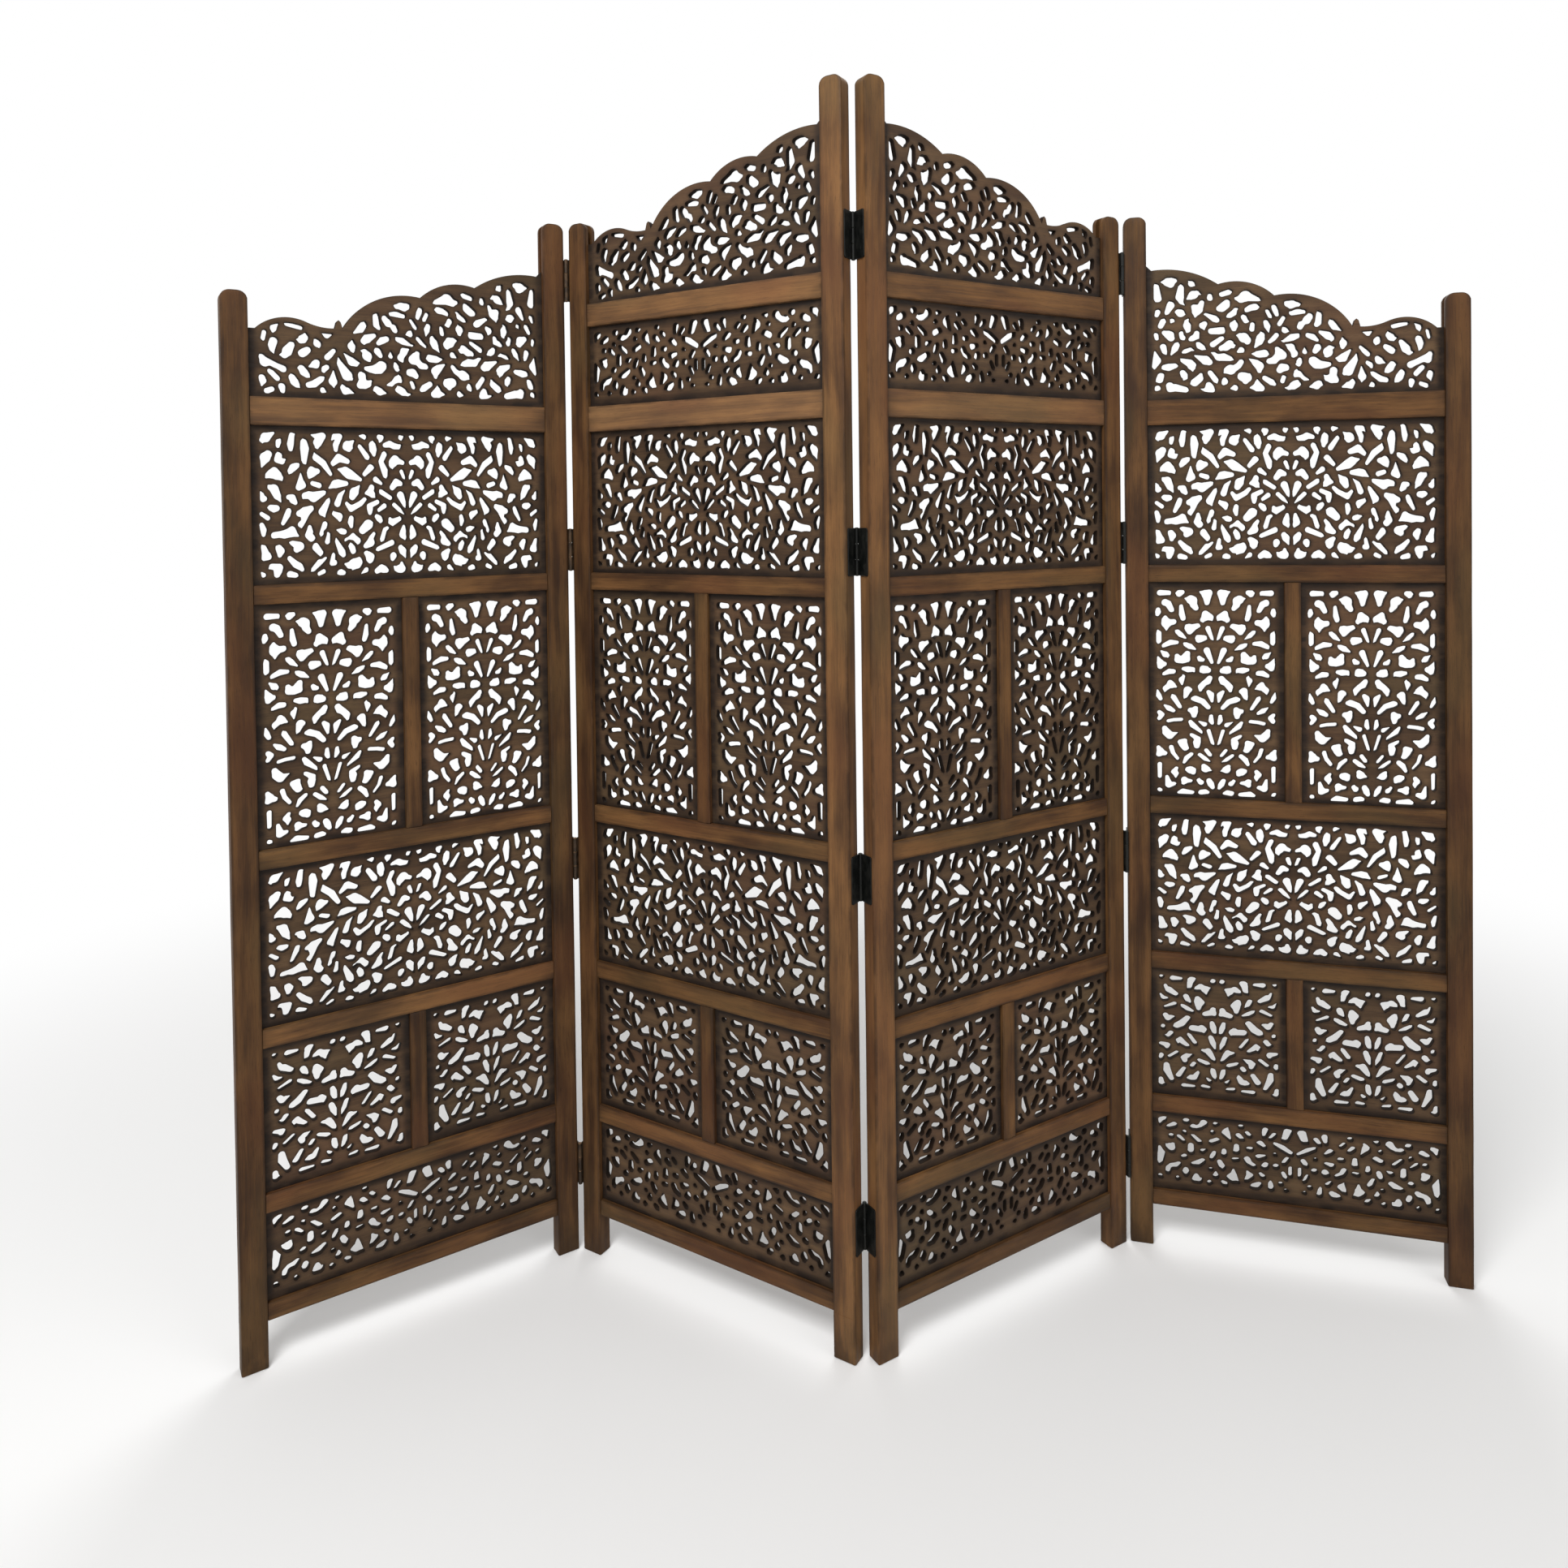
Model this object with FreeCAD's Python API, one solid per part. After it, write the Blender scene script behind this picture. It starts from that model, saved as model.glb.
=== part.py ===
import FreeCAD, Part
import math
import os

# A folding screen of four carved leaves, in millimetres.
# Each leaf is a frame of two grooved stiles, rails and short mullions.
# Pierced fretwork plates stand in the grooves, and butt hinges join the leaves.
# The origin is on the floor, at the middle of the open screen's width and depth.
# A leaf is drawn by itself first: X along its width, Y from its front face to its
# back face, and Z up. It is then turned and moved to its place in the zigzag.

V = FreeCAD.Vector

# A leaf's width over its stiles
leaf_width = 508.0

# How far each leaf is turned from the screen's own line, in degrees, from the left
leaf_angles = (32.5, -31.5, 31.5, -14.5)

# Stiles
stile_width = 36.0
stile_depth = 25.0
stile_top_radius = 13.0
groove_width = 9.6
groove_depth = 8.0

# Rails and mullions
rail_depth = 21.0
bottom_rail_height = 26.0
cross_rail_height = 28.0
shoulder_rail_height = 41.0
crest_rail_height = 37.0
mullion_width = 25.0
tenon_play = 0.4
tenon_end_gap = 0.6

# Clear heights of the feet and of the rows of fretwork
foot_height = 66.0
strip_opening = 129.0
small_opening = 209.0
wide_opening = 228.0
tall_opening = 351.0

# How far the posts stand above the crest beside them
outer_post_rise = 51.0
fold_post_rise = 35.0
centre_post_rise = 54.0

# Fretwork plates, and the plain border round their pierced field
fret_thickness = 9.0
fret_end_gap = 0.8
fret_border = 9.0
crest_height = 219.0

# The outline of the crest, from the short stile to the long one, as shares of the
# opening's width and of the crest's height. One point ends a straight stroke, and two
# are an arc's middle and its end.
crest_stroke_shares = (
    ((0.021, 0.443),),
    ((0.104, 0.526), (0.180, 0.505)),
    ((0.222, 0.480), (0.268, 0.476)),
    ((0.274, 0.521),),
    ((0.281, 0.534),),
    ((0.288, 0.521),),
    ((0.294, 0.480),),
    ((0.486, 0.735), (0.555, 0.731)),
    ((0.679, 0.849), (0.748, 0.836)),
    ((0.897, 0.959), (0.982, 0.963)),
    ((1.000, 1.000),),
)
crest_start_share = 0.443

# A leaf-shaped opening, as shares of its fan's reach: where its tail and its widest
# point lie, and half its width
leaf_tail_share = 0.17
leaf_belly_share = 0.62
leaf_side_share = 0.19

# The fans of leaf-shaped openings of each kind of plate. A row gives the root's place,
# across and up, then the fan's reach, across and up, all as shares of the pierced
# field, and then the turns of its leaves in degrees.
wide_fan_shares = (
    (0.50, 0.22, 0.165, 0.43, (90, 50, 130, 10, 170)),
    (0.20, 0.58, 0.185, 0.38, (90, 18, 162, 234, 306)),
    (0.80, 0.58, 0.185, 0.38, (90, 18, 162, 234, 306)),
)
tall_fan_shares = (
    (0.50, 0.01, 0.50, 0.29, (38, 142)),
    (0.50, 0.22, 0.50, 0.29, (38, 142)),
    (0.50, 0.43, 0.50, 0.29, (38, 142)),
    (0.50, 0.66, 0.50, 0.31, (38, 90, 142)),
)
small_fan_shares = (
    (0.50, 0.08, 0.47, 0.46, (90, 50, 130, 10, 170)),
    (0.50, 0.55, 0.47, 0.46, (40, 140)),
)
strip_fan_shares = (
    (0.50, 0.02, 0.24, 0.94, (90, 38, 142)),
    (0.20, 0.52, 0.17, 0.60, (60, 180)),
    (0.80, 0.52, 0.17, 0.60, (0, 120)),
)
crest_fan_shares = (
    (0.10, 0.05, 0.15, 0.30, (100, 45)),
    (0.37, 0.06, 0.19, 0.40, (125, 75, 25)),
    (0.77, 0.41, 0.19, 0.39, (90, 18, 162, 234, 306)),
)

# Butt hinges
hinge_length = 68.0
hinge_plate_thickness = 1.8
hinge_plate_gap = 0.4
hinge_plate_margin = 4.0
knuckle_radius = 3.2
knuckle_gap = 0.4
knuckle_clearance = 0.3
knuckle_count = 3
barrel_sides = 8
pin_radius = 1.5
pin_play = 0.05
pin_offset = 3.6

# Where a fold's four hinges sit: above the bottom rail, below the middle rail, above the
# tall row's upper rail, and below the top of the post
side_hinge_offsets = (52.0, 64.0, 37.0, 91.0)
centre_hinge_offsets = (96.0, 22.0, 37.0, 223.0)

# One overrun serves all cuts
overrun = 5.0


def box(low, high):
    """A block between two opposite corners."""
    size = high - low
    return Part.makeBox(size.x, size.y, size.z, low)


def prism(points, direction):
    """A straight-sided outline, extruded."""
    return Part.Face(Part.makePolygon(points + [points[0]])).extrude(direction)


# Rail levels, from the floor up
bottom_rail_top = foot_height + bottom_rail_height
lower_rail_low = bottom_rail_top + strip_opening
lower_rail_top = lower_rail_low + cross_rail_height
small_rail_low = lower_rail_top + small_opening
small_rail_top = small_rail_low + cross_rail_height
middle_rail_low = small_rail_top + wide_opening
middle_rail_top = middle_rail_low + cross_rail_height
tall_rail_low = middle_rail_top + tall_opening
tall_rail_top = tall_rail_low + cross_rail_height
shoulder_rail_low = tall_rail_top + wide_opening
shoulder_rail_top = shoulder_rail_low + shoulder_rail_height
crest_rail_low = shoulder_rail_top + strip_opening
crest_rail_top = crest_rail_low + crest_rail_height

# Post heights, up to 1829. Each post stands above the end of the crest beside it.
crest_start = crest_height * crest_start_share
outer_post_height = shoulder_rail_top + crest_start + outer_post_rise
fold_post_height = crest_rail_top + crest_start + fold_post_rise
centre_post_height = crest_rail_top + crest_height + centre_post_rise

# Places across a leaf, and the tenons. A rail's own grooves are as wide as its tenons,
# so that a tenon is what its two grooves leave between them.
mid_depth = stile_depth / 2
inner_left = stile_width
inner_right = leaf_width - stile_width
opening_width = inner_right - inner_left
half_opening = (opening_width - mullion_width) / 2
tenon_thickness = groove_width - tenon_play
tenon_length = groove_depth - tenon_end_gap


def stile(height, is_left):
    """An upright with a rounded top and a groove along its inner edge."""
    radius = stile_top_radius
    corner = radius * math.sqrt(0.5)
    left_centre = V(radius, 0, height - radius)
    right_centre = V(stile_width - radius, 0, height - radius)
    edges = [
        Part.LineSegment(V(0, 0, 0), V(stile_width, 0, 0)),
        Part.LineSegment(V(stile_width, 0, 0), V(stile_width, 0, right_centre.z)),
        Part.Arc(V(stile_width, 0, right_centre.z), right_centre + V(corner, 0, corner),
                 V(right_centre.x, 0, height)),
        Part.LineSegment(V(right_centre.x, 0, height), V(left_centre.x, 0, height)),
        Part.Arc(V(left_centre.x, 0, height), left_centre + V(-corner, 0, corner),
                 V(0, 0, left_centre.z)),
        Part.LineSegment(V(0, 0, left_centre.z), V(0, 0, 0)),
    ]
    post = Part.Face(Part.Wire([edge.toShape() for edge in edges])).extrude(V(0, stile_depth, 0))
    cut_left = stile_width - groove_depth if is_left else -overrun
    cut_right = stile_width + overrun if is_left else groove_depth
    groove = box(V(cut_left, mid_depth - groove_width / 2, foot_height),
                 V(cut_right, mid_depth + groove_width / 2, height + overrun))
    post = post.cut(groove)
    if not is_left:
        post.translate(V(inner_right, 0, 0))
    return post


def bar_section(low, high, groove_low, groove_high):
    """The outline of a rail or mullion, with a fret groove in one or both edges."""
    front = mid_depth - rail_depth / 2
    back = mid_depth + rail_depth / 2
    groove_front = mid_depth - tenon_thickness / 2
    groove_back = mid_depth + tenon_thickness / 2
    points = [(front, low)]
    if groove_low:
        points += [(groove_front, low), (groove_front, low + groove_depth),
                   (groove_back, low + groove_depth), (groove_back, low)]
    points += [(back, low), (back, high)]
    if groove_high:
        points += [(groove_back, high), (groove_back, high - groove_depth),
                   (groove_front, high - groove_depth), (groove_front, high)]
    points += [(front, high)]
    return points


def rail(low, height, groove_low=True):
    """A rail between the stiles, with stub tenons in their grooves."""
    high = low + height
    section = bar_section(low, high, groove_low, True)
    body = prism([V(inner_left, depth, level) for depth, level in section], V(opening_width, 0, 0))
    tenon_low = low + groove_depth if groove_low else low
    tenon = box(V(inner_left - tenon_length, mid_depth - tenon_thickness / 2, tenon_low),
                V(inner_right + tenon_length, mid_depth + tenon_thickness / 2,
                  high - groove_depth))
    return body.fuse(tenon).removeSplitter()


def mullion(low, high):
    """A short upright between two rails, grooved on both sides."""
    left = leaf_width / 2 - mullion_width / 2
    section = bar_section(left, left + mullion_width, True, True)
    body = prism([V(side, depth, low) for depth, side in section], V(0, 0, high - low))
    tenon = box(V(left + groove_depth, mid_depth - tenon_thickness / 2, low - tenon_length),
                V(left + mullion_width - groove_depth, mid_depth + tenon_thickness / 2,
                  high + tenon_length))
    return body.fuse(tenon).removeSplitter()


def fan(root, across, up, turns):
    """Leaf-shaped openings that radiate from a root, inside an ellipse of this reach."""
    leaves = []
    for turn in turns:
        angle = math.radians(turn)
        along = V(across * math.cos(angle), 0, up * math.sin(angle))
        aside = V(-across * math.sin(angle), 0, up * math.cos(angle)) * leaf_side_share
        belly = root + along * leaf_belly_share
        leaves.append([root + along * leaf_tail_share, belly + aside, root + along, belly - aside])
    return leaves


def leaf_openings(width, height, fan_shares):
    """All leaf-shaped openings of a plate whose clear opening has this size."""
    field_width = width - 2 * fret_border
    field_height = height - 2 * fret_border
    leaves = []
    for across_share, up_share, reach_across_share, reach_up_share, turns in fan_shares:
        root = V(fret_border + field_width * across_share, 0,
                 fret_border + field_height * up_share)
        leaves += fan(root, field_width * reach_across_share, field_height * reach_up_share, turns)
    return leaves


def pierced(outline, leaves):
    """A plate with openings, standing at mid-depth of its leaf."""
    wires = [outline] + [Part.makePolygon(leaf + [leaf[0]]) for leaf in leaves]
    plate = Part.makeFace(wires, "Part::FaceMakerBullseye").extrude(V(0, fret_thickness, 0))
    plate.translate(V(0, mid_depth - fret_thickness / 2, 0))
    return plate


def fret(left, low, width, height, fan_shares):
    """A rectangular plate. It stands on the floor of the groove under it."""
    side = groove_depth - fret_end_gap
    corners = [V(-side, 0, -groove_depth), V(width + side, 0, -groove_depth),
               V(width + side, 0, height + side), V(-side, 0, height + side)]
    plate = pierced(Part.makePolygon(corners + [corners[0]]),
                    leaf_openings(width, height, fan_shares))
    plate.translate(V(left, 0, low))
    return plate


def crest_fret(low):
    """The crest plate of a leaf that rises to the right."""
    side = groove_depth - fret_end_gap
    far = opening_width + side
    edges = []
    start = V(0, 0, crest_start)
    for stroke in crest_stroke_shares:
        points = [V(opening_width * across, 0, crest_height * up) for across, up in stroke]
        if len(points) == 1:
            edges.append(Part.LineSegment(start, points[0]))
        else:
            edges.append(Part.Arc(start, points[0], points[1]))
        start = points[-1]
    corners = [start, V(far, 0, crest_height), V(far, 0, -groove_depth),
               V(-side, 0, -groove_depth), V(-side, 0, crest_start), V(0, 0, crest_start)]
    edges += [Part.LineSegment(first, second) for first, second in zip(corners, corners[1:])]
    plate = pierced(Part.Wire([edge.toShape() for edge in edges]),
                    leaf_openings(opening_width, crest_height, crest_fan_shares))
    plate.translate(V(inner_left, 0, low))
    return plate


def frame_nodes(is_inner):
    """The fixed pieces of one leaf that rises to the right, under their node names."""
    left_height = fold_post_height if is_inner else outer_post_height
    right_height = centre_post_height if is_inner else fold_post_height
    half_left = inner_left
    half_right = inner_right - half_opening
    nodes = {
        "short_stile": stile(left_height, True),
        "long_stile": stile(right_height, False),
        "bottom_rail": rail(foot_height, bottom_rail_height, groove_low=False),
        "cross_rails": [rail(low, cross_rail_height) for low in
                        (lower_rail_low, small_rail_low, middle_rail_low, tall_rail_low)],
        "shoulder_rail": rail(shoulder_rail_low, shoulder_rail_height),
        "mullions": [mullion(lower_rail_top, small_rail_low),
                     mullion(middle_rail_top, tall_rail_low)],
        "wide_frets": [fret(inner_left, low, opening_width, wide_opening, wide_fan_shares)
                       for low in (small_rail_top, tall_rail_top)],
        "tall_frets": [fret(left, middle_rail_top, half_opening, tall_opening, tall_fan_shares)
                       for left in (half_left, half_right)],
        "small_frets": [fret(left, lower_rail_top, half_opening, small_opening, small_fan_shares)
                        for left in (half_left, half_right)],
    }
    strip_levels = [bottom_rail_top]
    crest_low = shoulder_rail_top
    if is_inner:
        nodes["crest_rail"] = rail(crest_rail_low, crest_rail_height)
        strip_levels.append(shoulder_rail_top)
        crest_low = crest_rail_top
    nodes["strip_frets"] = [fret(inner_left, low, opening_width, strip_opening, strip_fan_shares)
                            for low in strip_levels]
    nodes["crest_fret"] = crest_fret(crest_low)
    return nodes


# Hinge geometry, shared by both halves and the pins. Barrels, bores and pins have few
# sides, and a bore's flats stand off the pin's corners by the pin's play.
hinge_gap = 2 * hinge_plate_thickness + hinge_plate_gap
knuckle_length = (hinge_length - (knuckle_count - 1) * knuckle_gap) / knuckle_count
knuckle_reach = math.sqrt((knuckle_radius + knuckle_clearance) ** 2 - (hinge_plate_gap / 2) ** 2)
bore_radius = (pin_radius + pin_play) / math.cos(math.pi / barrel_sides)


def round_bar(radius, low, high):
    """An upright many-sided bar about the pin's axis."""
    corners = []
    for side in range(barrel_sides):
        angle = 2 * math.pi * side / barrel_sides
        corners.append(V(radius * math.cos(angle), radius * math.sin(angle), low))
    return prism(corners, V(0, 0, high - low))


def hinge_heights(offsets, post_height):
    """The heights of a fold's hinges."""
    above_bottom, below_middle, above_tall, below_top = offsets
    return (bottom_rail_top + above_bottom, middle_rail_low - below_middle,
            tall_rail_top + above_tall, post_height - below_top)


def knuckle_span(height, index):
    """The low and high level of one knuckle of a hinge at this height."""
    low = height - hinge_length / 2 + index * (knuckle_length + knuckle_gap)
    return low, low + knuckle_length


def hinge_half(height, knuckles):
    """Half a butt hinge, drawn about its pin: the plate lies to +X and runs to +Y."""
    low = height - hinge_length / 2
    high = height + hinge_length / 2
    inner = hinge_plate_gap / 2
    outer = inner + hinge_plate_thickness
    plate_end = pin_offset + stile_depth - hinge_plate_margin
    half = box(V(inner, knuckle_reach, low), V(outer, plate_end, high))
    for index in knuckles:
        span_low, span_high = knuckle_span(height, index)
        tab = box(V(inner, 0, span_low), V(outer, knuckle_reach, span_high))
        half = half.fuse([tab, round_bar(knuckle_radius, span_low, span_high)])
    return half.cut(round_bar(bore_radius, low - overrun, high + overrun)).removeSplitter()


def hinge_pin(height):
    """The pin that fills a hinge's knuckles from end to end."""
    return round_bar(pin_radius, height - hinge_length / 2, height + hinge_length / 2)


def turned_to(shape, on_left, at_back):
    """A hinge part moved from pin-centred axes to the side of a leaf that it is fixed to.
    on_left says that the pin stands at the leaf's left side, and at_back that it
    stands behind the leaf."""
    moved = shape.copy()
    if not on_left:
        moved = moved.mirror(V(0, 0, 0), V(1, 0, 0))
    if at_back:
        moved = moved.mirror(V(0, 0, 0), V(0, 1, 0))
    moved.translate(pin_place(on_left, at_back))
    return moved


def pin_place(on_left, at_back):
    """A pin's place in its leaf's own axes."""
    x = -hinge_gap / 2 if on_left else leaf_width + hinge_gap / 2
    y = stile_depth + pin_offset if at_back else -pin_offset
    return V(x, y, 0)


# The folds: the leaves that each joins, whether its pins are at the back, and heights
folds = (
    ("left_fold", 0, 1, False, hinge_heights(side_hinge_offsets, fold_post_height)),
    ("centre_fold", 1, 2, True, hinge_heights(centre_hinge_offsets, centre_post_height)),
    ("right_fold", 2, 3, False, hinge_heights(side_hinge_offsets, fold_post_height)),
)
leaf_names = ("outer_left", "inner_left", "inner_right", "outer_right")


def leaf_places():
    """Each leaf's own origin, found by chaining the leaves at their pins."""
    turns = [FreeCAD.Rotation(V(0, 0, 1), turn) for turn in leaf_angles]
    origins = [V(0, 0, 0)]
    for name, left, right, at_back, heights in folds:
        pin = origins[left] + turns[left].multVec(pin_place(False, at_back))
        origins.append(pin - turns[right].multVec(pin_place(True, at_back)))
    corners = []
    for origin, turn in zip(origins, turns):
        for x in (0, leaf_width):
            for y in (0, stile_depth):
                corners.append(origin + turn.multVec(V(x, y, 0)))
    middle = V((min(c.x for c in corners) + max(c.x for c in corners)) / 2,
               (min(c.y for c in corners) + max(c.y for c in corners)) / 2, 0)
    return [FreeCAD.Placement(origin - middle, turn) for origin, turn in zip(origins, turns)]


def flipped(shape):
    """A leaf's piece, mirrored for a leaf that rises to the left."""
    return shape.mirror(V(leaf_width / 2, 0, 0), V(1, 0, 0))


def save(name, shapes, place):
    """Write one node, moved to its place in the screen."""
    solids = shapes if isinstance(shapes, list) else [shapes]
    moved = []
    for solid in solids:
        for piece in solid.Solids:
            copy = piece.copy()
            copy.Placement = place.multiply(copy.Placement)
            moved.append(copy)
    shape = moved[0] if len(moved) == 1 else Part.makeCompound(moved)
    shape.exportStep(os.path.join("parts", name + ".step"))


def main():
    os.makedirs("parts", exist_ok=True)
    places = leaf_places()
    outer_nodes = frame_nodes(False)
    inner_nodes = frame_nodes(True)
    for index, leaf in enumerate(leaf_names):
        nodes = inner_nodes if index in (1, 2) else outer_nodes
        for node, shapes in nodes.items():
            pieces = shapes if isinstance(shapes, list) else [shapes]
            if index in (2, 3):
                pieces = [flipped(piece) for piece in pieces]
            save(leaf + "_" + node, pieces, places[index])

    for fold, left, right, at_back, heights in folds:
        outer_knuckles = [turned_to(hinge_half(height, (0, 2)), False, at_back)
                          for height in heights]
        middle_knuckles = [turned_to(hinge_half(height, (1,)), True, at_back)
                           for height in heights]
        pins = [turned_to(hinge_pin(height), False, at_back) for height in heights]
        save(fold + "_hinge_plates_left", outer_knuckles, places[left])
        save(fold + "_hinge_plates_right", middle_knuckles, places[right])
        save(fold + "_hinge_pins", pins, places[left])


main()
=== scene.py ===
import math

import bmesh
import bpy
import numpy as np
from mathutils import Matrix, Vector
from mathutils.geometry import delaunay_2d_cdt


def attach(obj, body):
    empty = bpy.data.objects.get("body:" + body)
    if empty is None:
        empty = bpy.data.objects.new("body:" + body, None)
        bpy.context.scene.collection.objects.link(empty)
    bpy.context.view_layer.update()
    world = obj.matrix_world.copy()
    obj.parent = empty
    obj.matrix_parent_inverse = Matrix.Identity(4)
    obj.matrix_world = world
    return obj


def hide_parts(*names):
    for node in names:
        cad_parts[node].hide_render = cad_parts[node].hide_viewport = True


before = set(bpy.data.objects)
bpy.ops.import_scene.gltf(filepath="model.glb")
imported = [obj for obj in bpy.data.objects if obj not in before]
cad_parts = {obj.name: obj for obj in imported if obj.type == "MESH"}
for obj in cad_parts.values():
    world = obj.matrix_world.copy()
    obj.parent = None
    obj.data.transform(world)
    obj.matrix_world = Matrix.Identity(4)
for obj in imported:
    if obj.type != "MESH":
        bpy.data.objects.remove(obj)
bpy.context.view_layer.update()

# Lengths in the modelling code are in millimetres, and meshes are made in metres.
# A leaf's own axes: x along the leaf from its left side face, y from the front face to
# the back, z up from the floor. The two leaves on the right are mirrored copies, so
# their pieces are drawn as for a left leaf and turned over.
MM = 0.001
MERGE = 2e-6
TINY = 1e-9
SEED = 7
SMOOTH_ANGLE = math.radians(38)
LEAF_ANGLES = {"outer_left": 32.5, "inner_left": -31.5, "inner_right": 31.5, "outer_right": -14.5}
LEAF_DEPTH = 25.0

# The frame: grooves and what stands in them, from the front face and the edges
GROOVE_FRONT = 7.7
GROOVE_BACK = 17.3
GROOVE_DEPTH = 8.0
FRET_FRONT = 8.0
FRET_BACK = 17.0
FRET_REACH = 7.2
TENON_FRONT = 8.1
TENON_BACK = 16.9
TENON_REACH = 7.2

# Stiles
STILE_WIDTH = 36.0
FOOT_HEIGHT = 66.0
FLOOR_INSET = 1.2
POST_TOP_RADIUS = 13.0
POST_TOP_STEPS = 8
POST_TOP_EASE = 1.8
FOOT_WEAR_HEIGHT = 5.0
TOP_WEAR_DEPTH = 1.5

# Edges: the easing of a corner, how far its wear spreads, and the wear across it. Every
# bar is uneven by up to WAVE at stations along it, and stained near its joints.
EDGE_EASE = 2.2
EDGE_SPREAD = 2.2
EDGE_WEAR = (0.0, 0.8, 1.0, 0.8, 0.0)
END_EASE = 0.5
WAVE = 0.25
STATION_STEP = 60.0
JOINT_STAINS = (5.0, 24.0)
JOINT_WEAR = (1.0, 0.55, 0.0)

# How much paler the wood of a piece is, by the first of these words in its name, in fifths
# of the colour, and the range of chance about it. Partly the parts' own tone and partly
# painted light: the shoulder and crest rails are paler partly as painted light from above,
# and the entries for single leaves paint a leaf's pieces paler or darker by how light falls there.
PART_TONES_AND_LIGHT = {
    "outer_left_short": -1.1, "outer_right_short": -1.1, "inner_left_long": 2.6,
    "inner_right_long": 2.6, "stile": -0.2, "outer_right_shoulder": 0.9, "shoulder": 3.8,
    "crest_rail": 2.9, "mullion": 0.1, "outer_right_cross": 0.4, "cross_rail": 1.8,
}
TONE_CHANCE = 0.6
TONE_STEP = 0.2

# Fretwork: how much the openings' corners are rounded, and the grid that they are drawn
# on as a field, above zero inside an opening. A drawn width reaches half to each side.
CORNER_BLUR = 0.8
GRID_STEP = 0.7
FIELD_CLIP = 4.0
OUTSIDE = -1.0
FAR_AWAY = 1e3
HALF_WIDTHS = 0.5
SEARCH_REACH = 22.0
CONTOUR_TOLERANCE = 0.14
SMALLEST_OPENING = 9.0
CHAMFER = 0.5
CREST_BORDER = 7.5
SHARPEST_CORNER = 0.6
TRIANGLE_TOLERANCE = 1e-5

# The painted shade on the frets: the points on their faces that carry it, and how far it
# reaches from an opening's rim, as shade from the opening's walls, and from the frame, as
# painted shadow where the plate sits recessed under the rails and beside the stiles
SHADE_POINT_STEP = 4.0
SHADE_POINT_NEAREST = 1.2
RIM_SHADE_DEPTH = 4.0
RIM_SHADE = 0.7
SHADOWED_BORDER_WIDTH = 6.0
BORDER_SHADOW_FADE = 9.0

# Crest outline: shares of the opening's width and of the crest's height. One point is
# the end of a straight stroke, two are the middle and end of an arc.
CREST_HEIGHT = 219.0
CREST_START = 0.443
CREST_STROKES = (
    ((0.021, 0.443),),
    ((0.104, 0.526), (0.180, 0.505)),
    ((0.222, 0.480), (0.268, 0.476)),
    ((0.274, 0.521),),
    ((0.281, 0.534),),
    ((0.288, 0.521),),
    ((0.294, 0.480),),
    ((0.486, 0.735), (0.555, 0.731)),
    ((0.679, 0.849), (0.748, 0.836)),
    ((0.897, 0.959), (0.982, 0.963)),
    ((1.000, 1.000),),
)
ARC_STEP = 3.0

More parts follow.
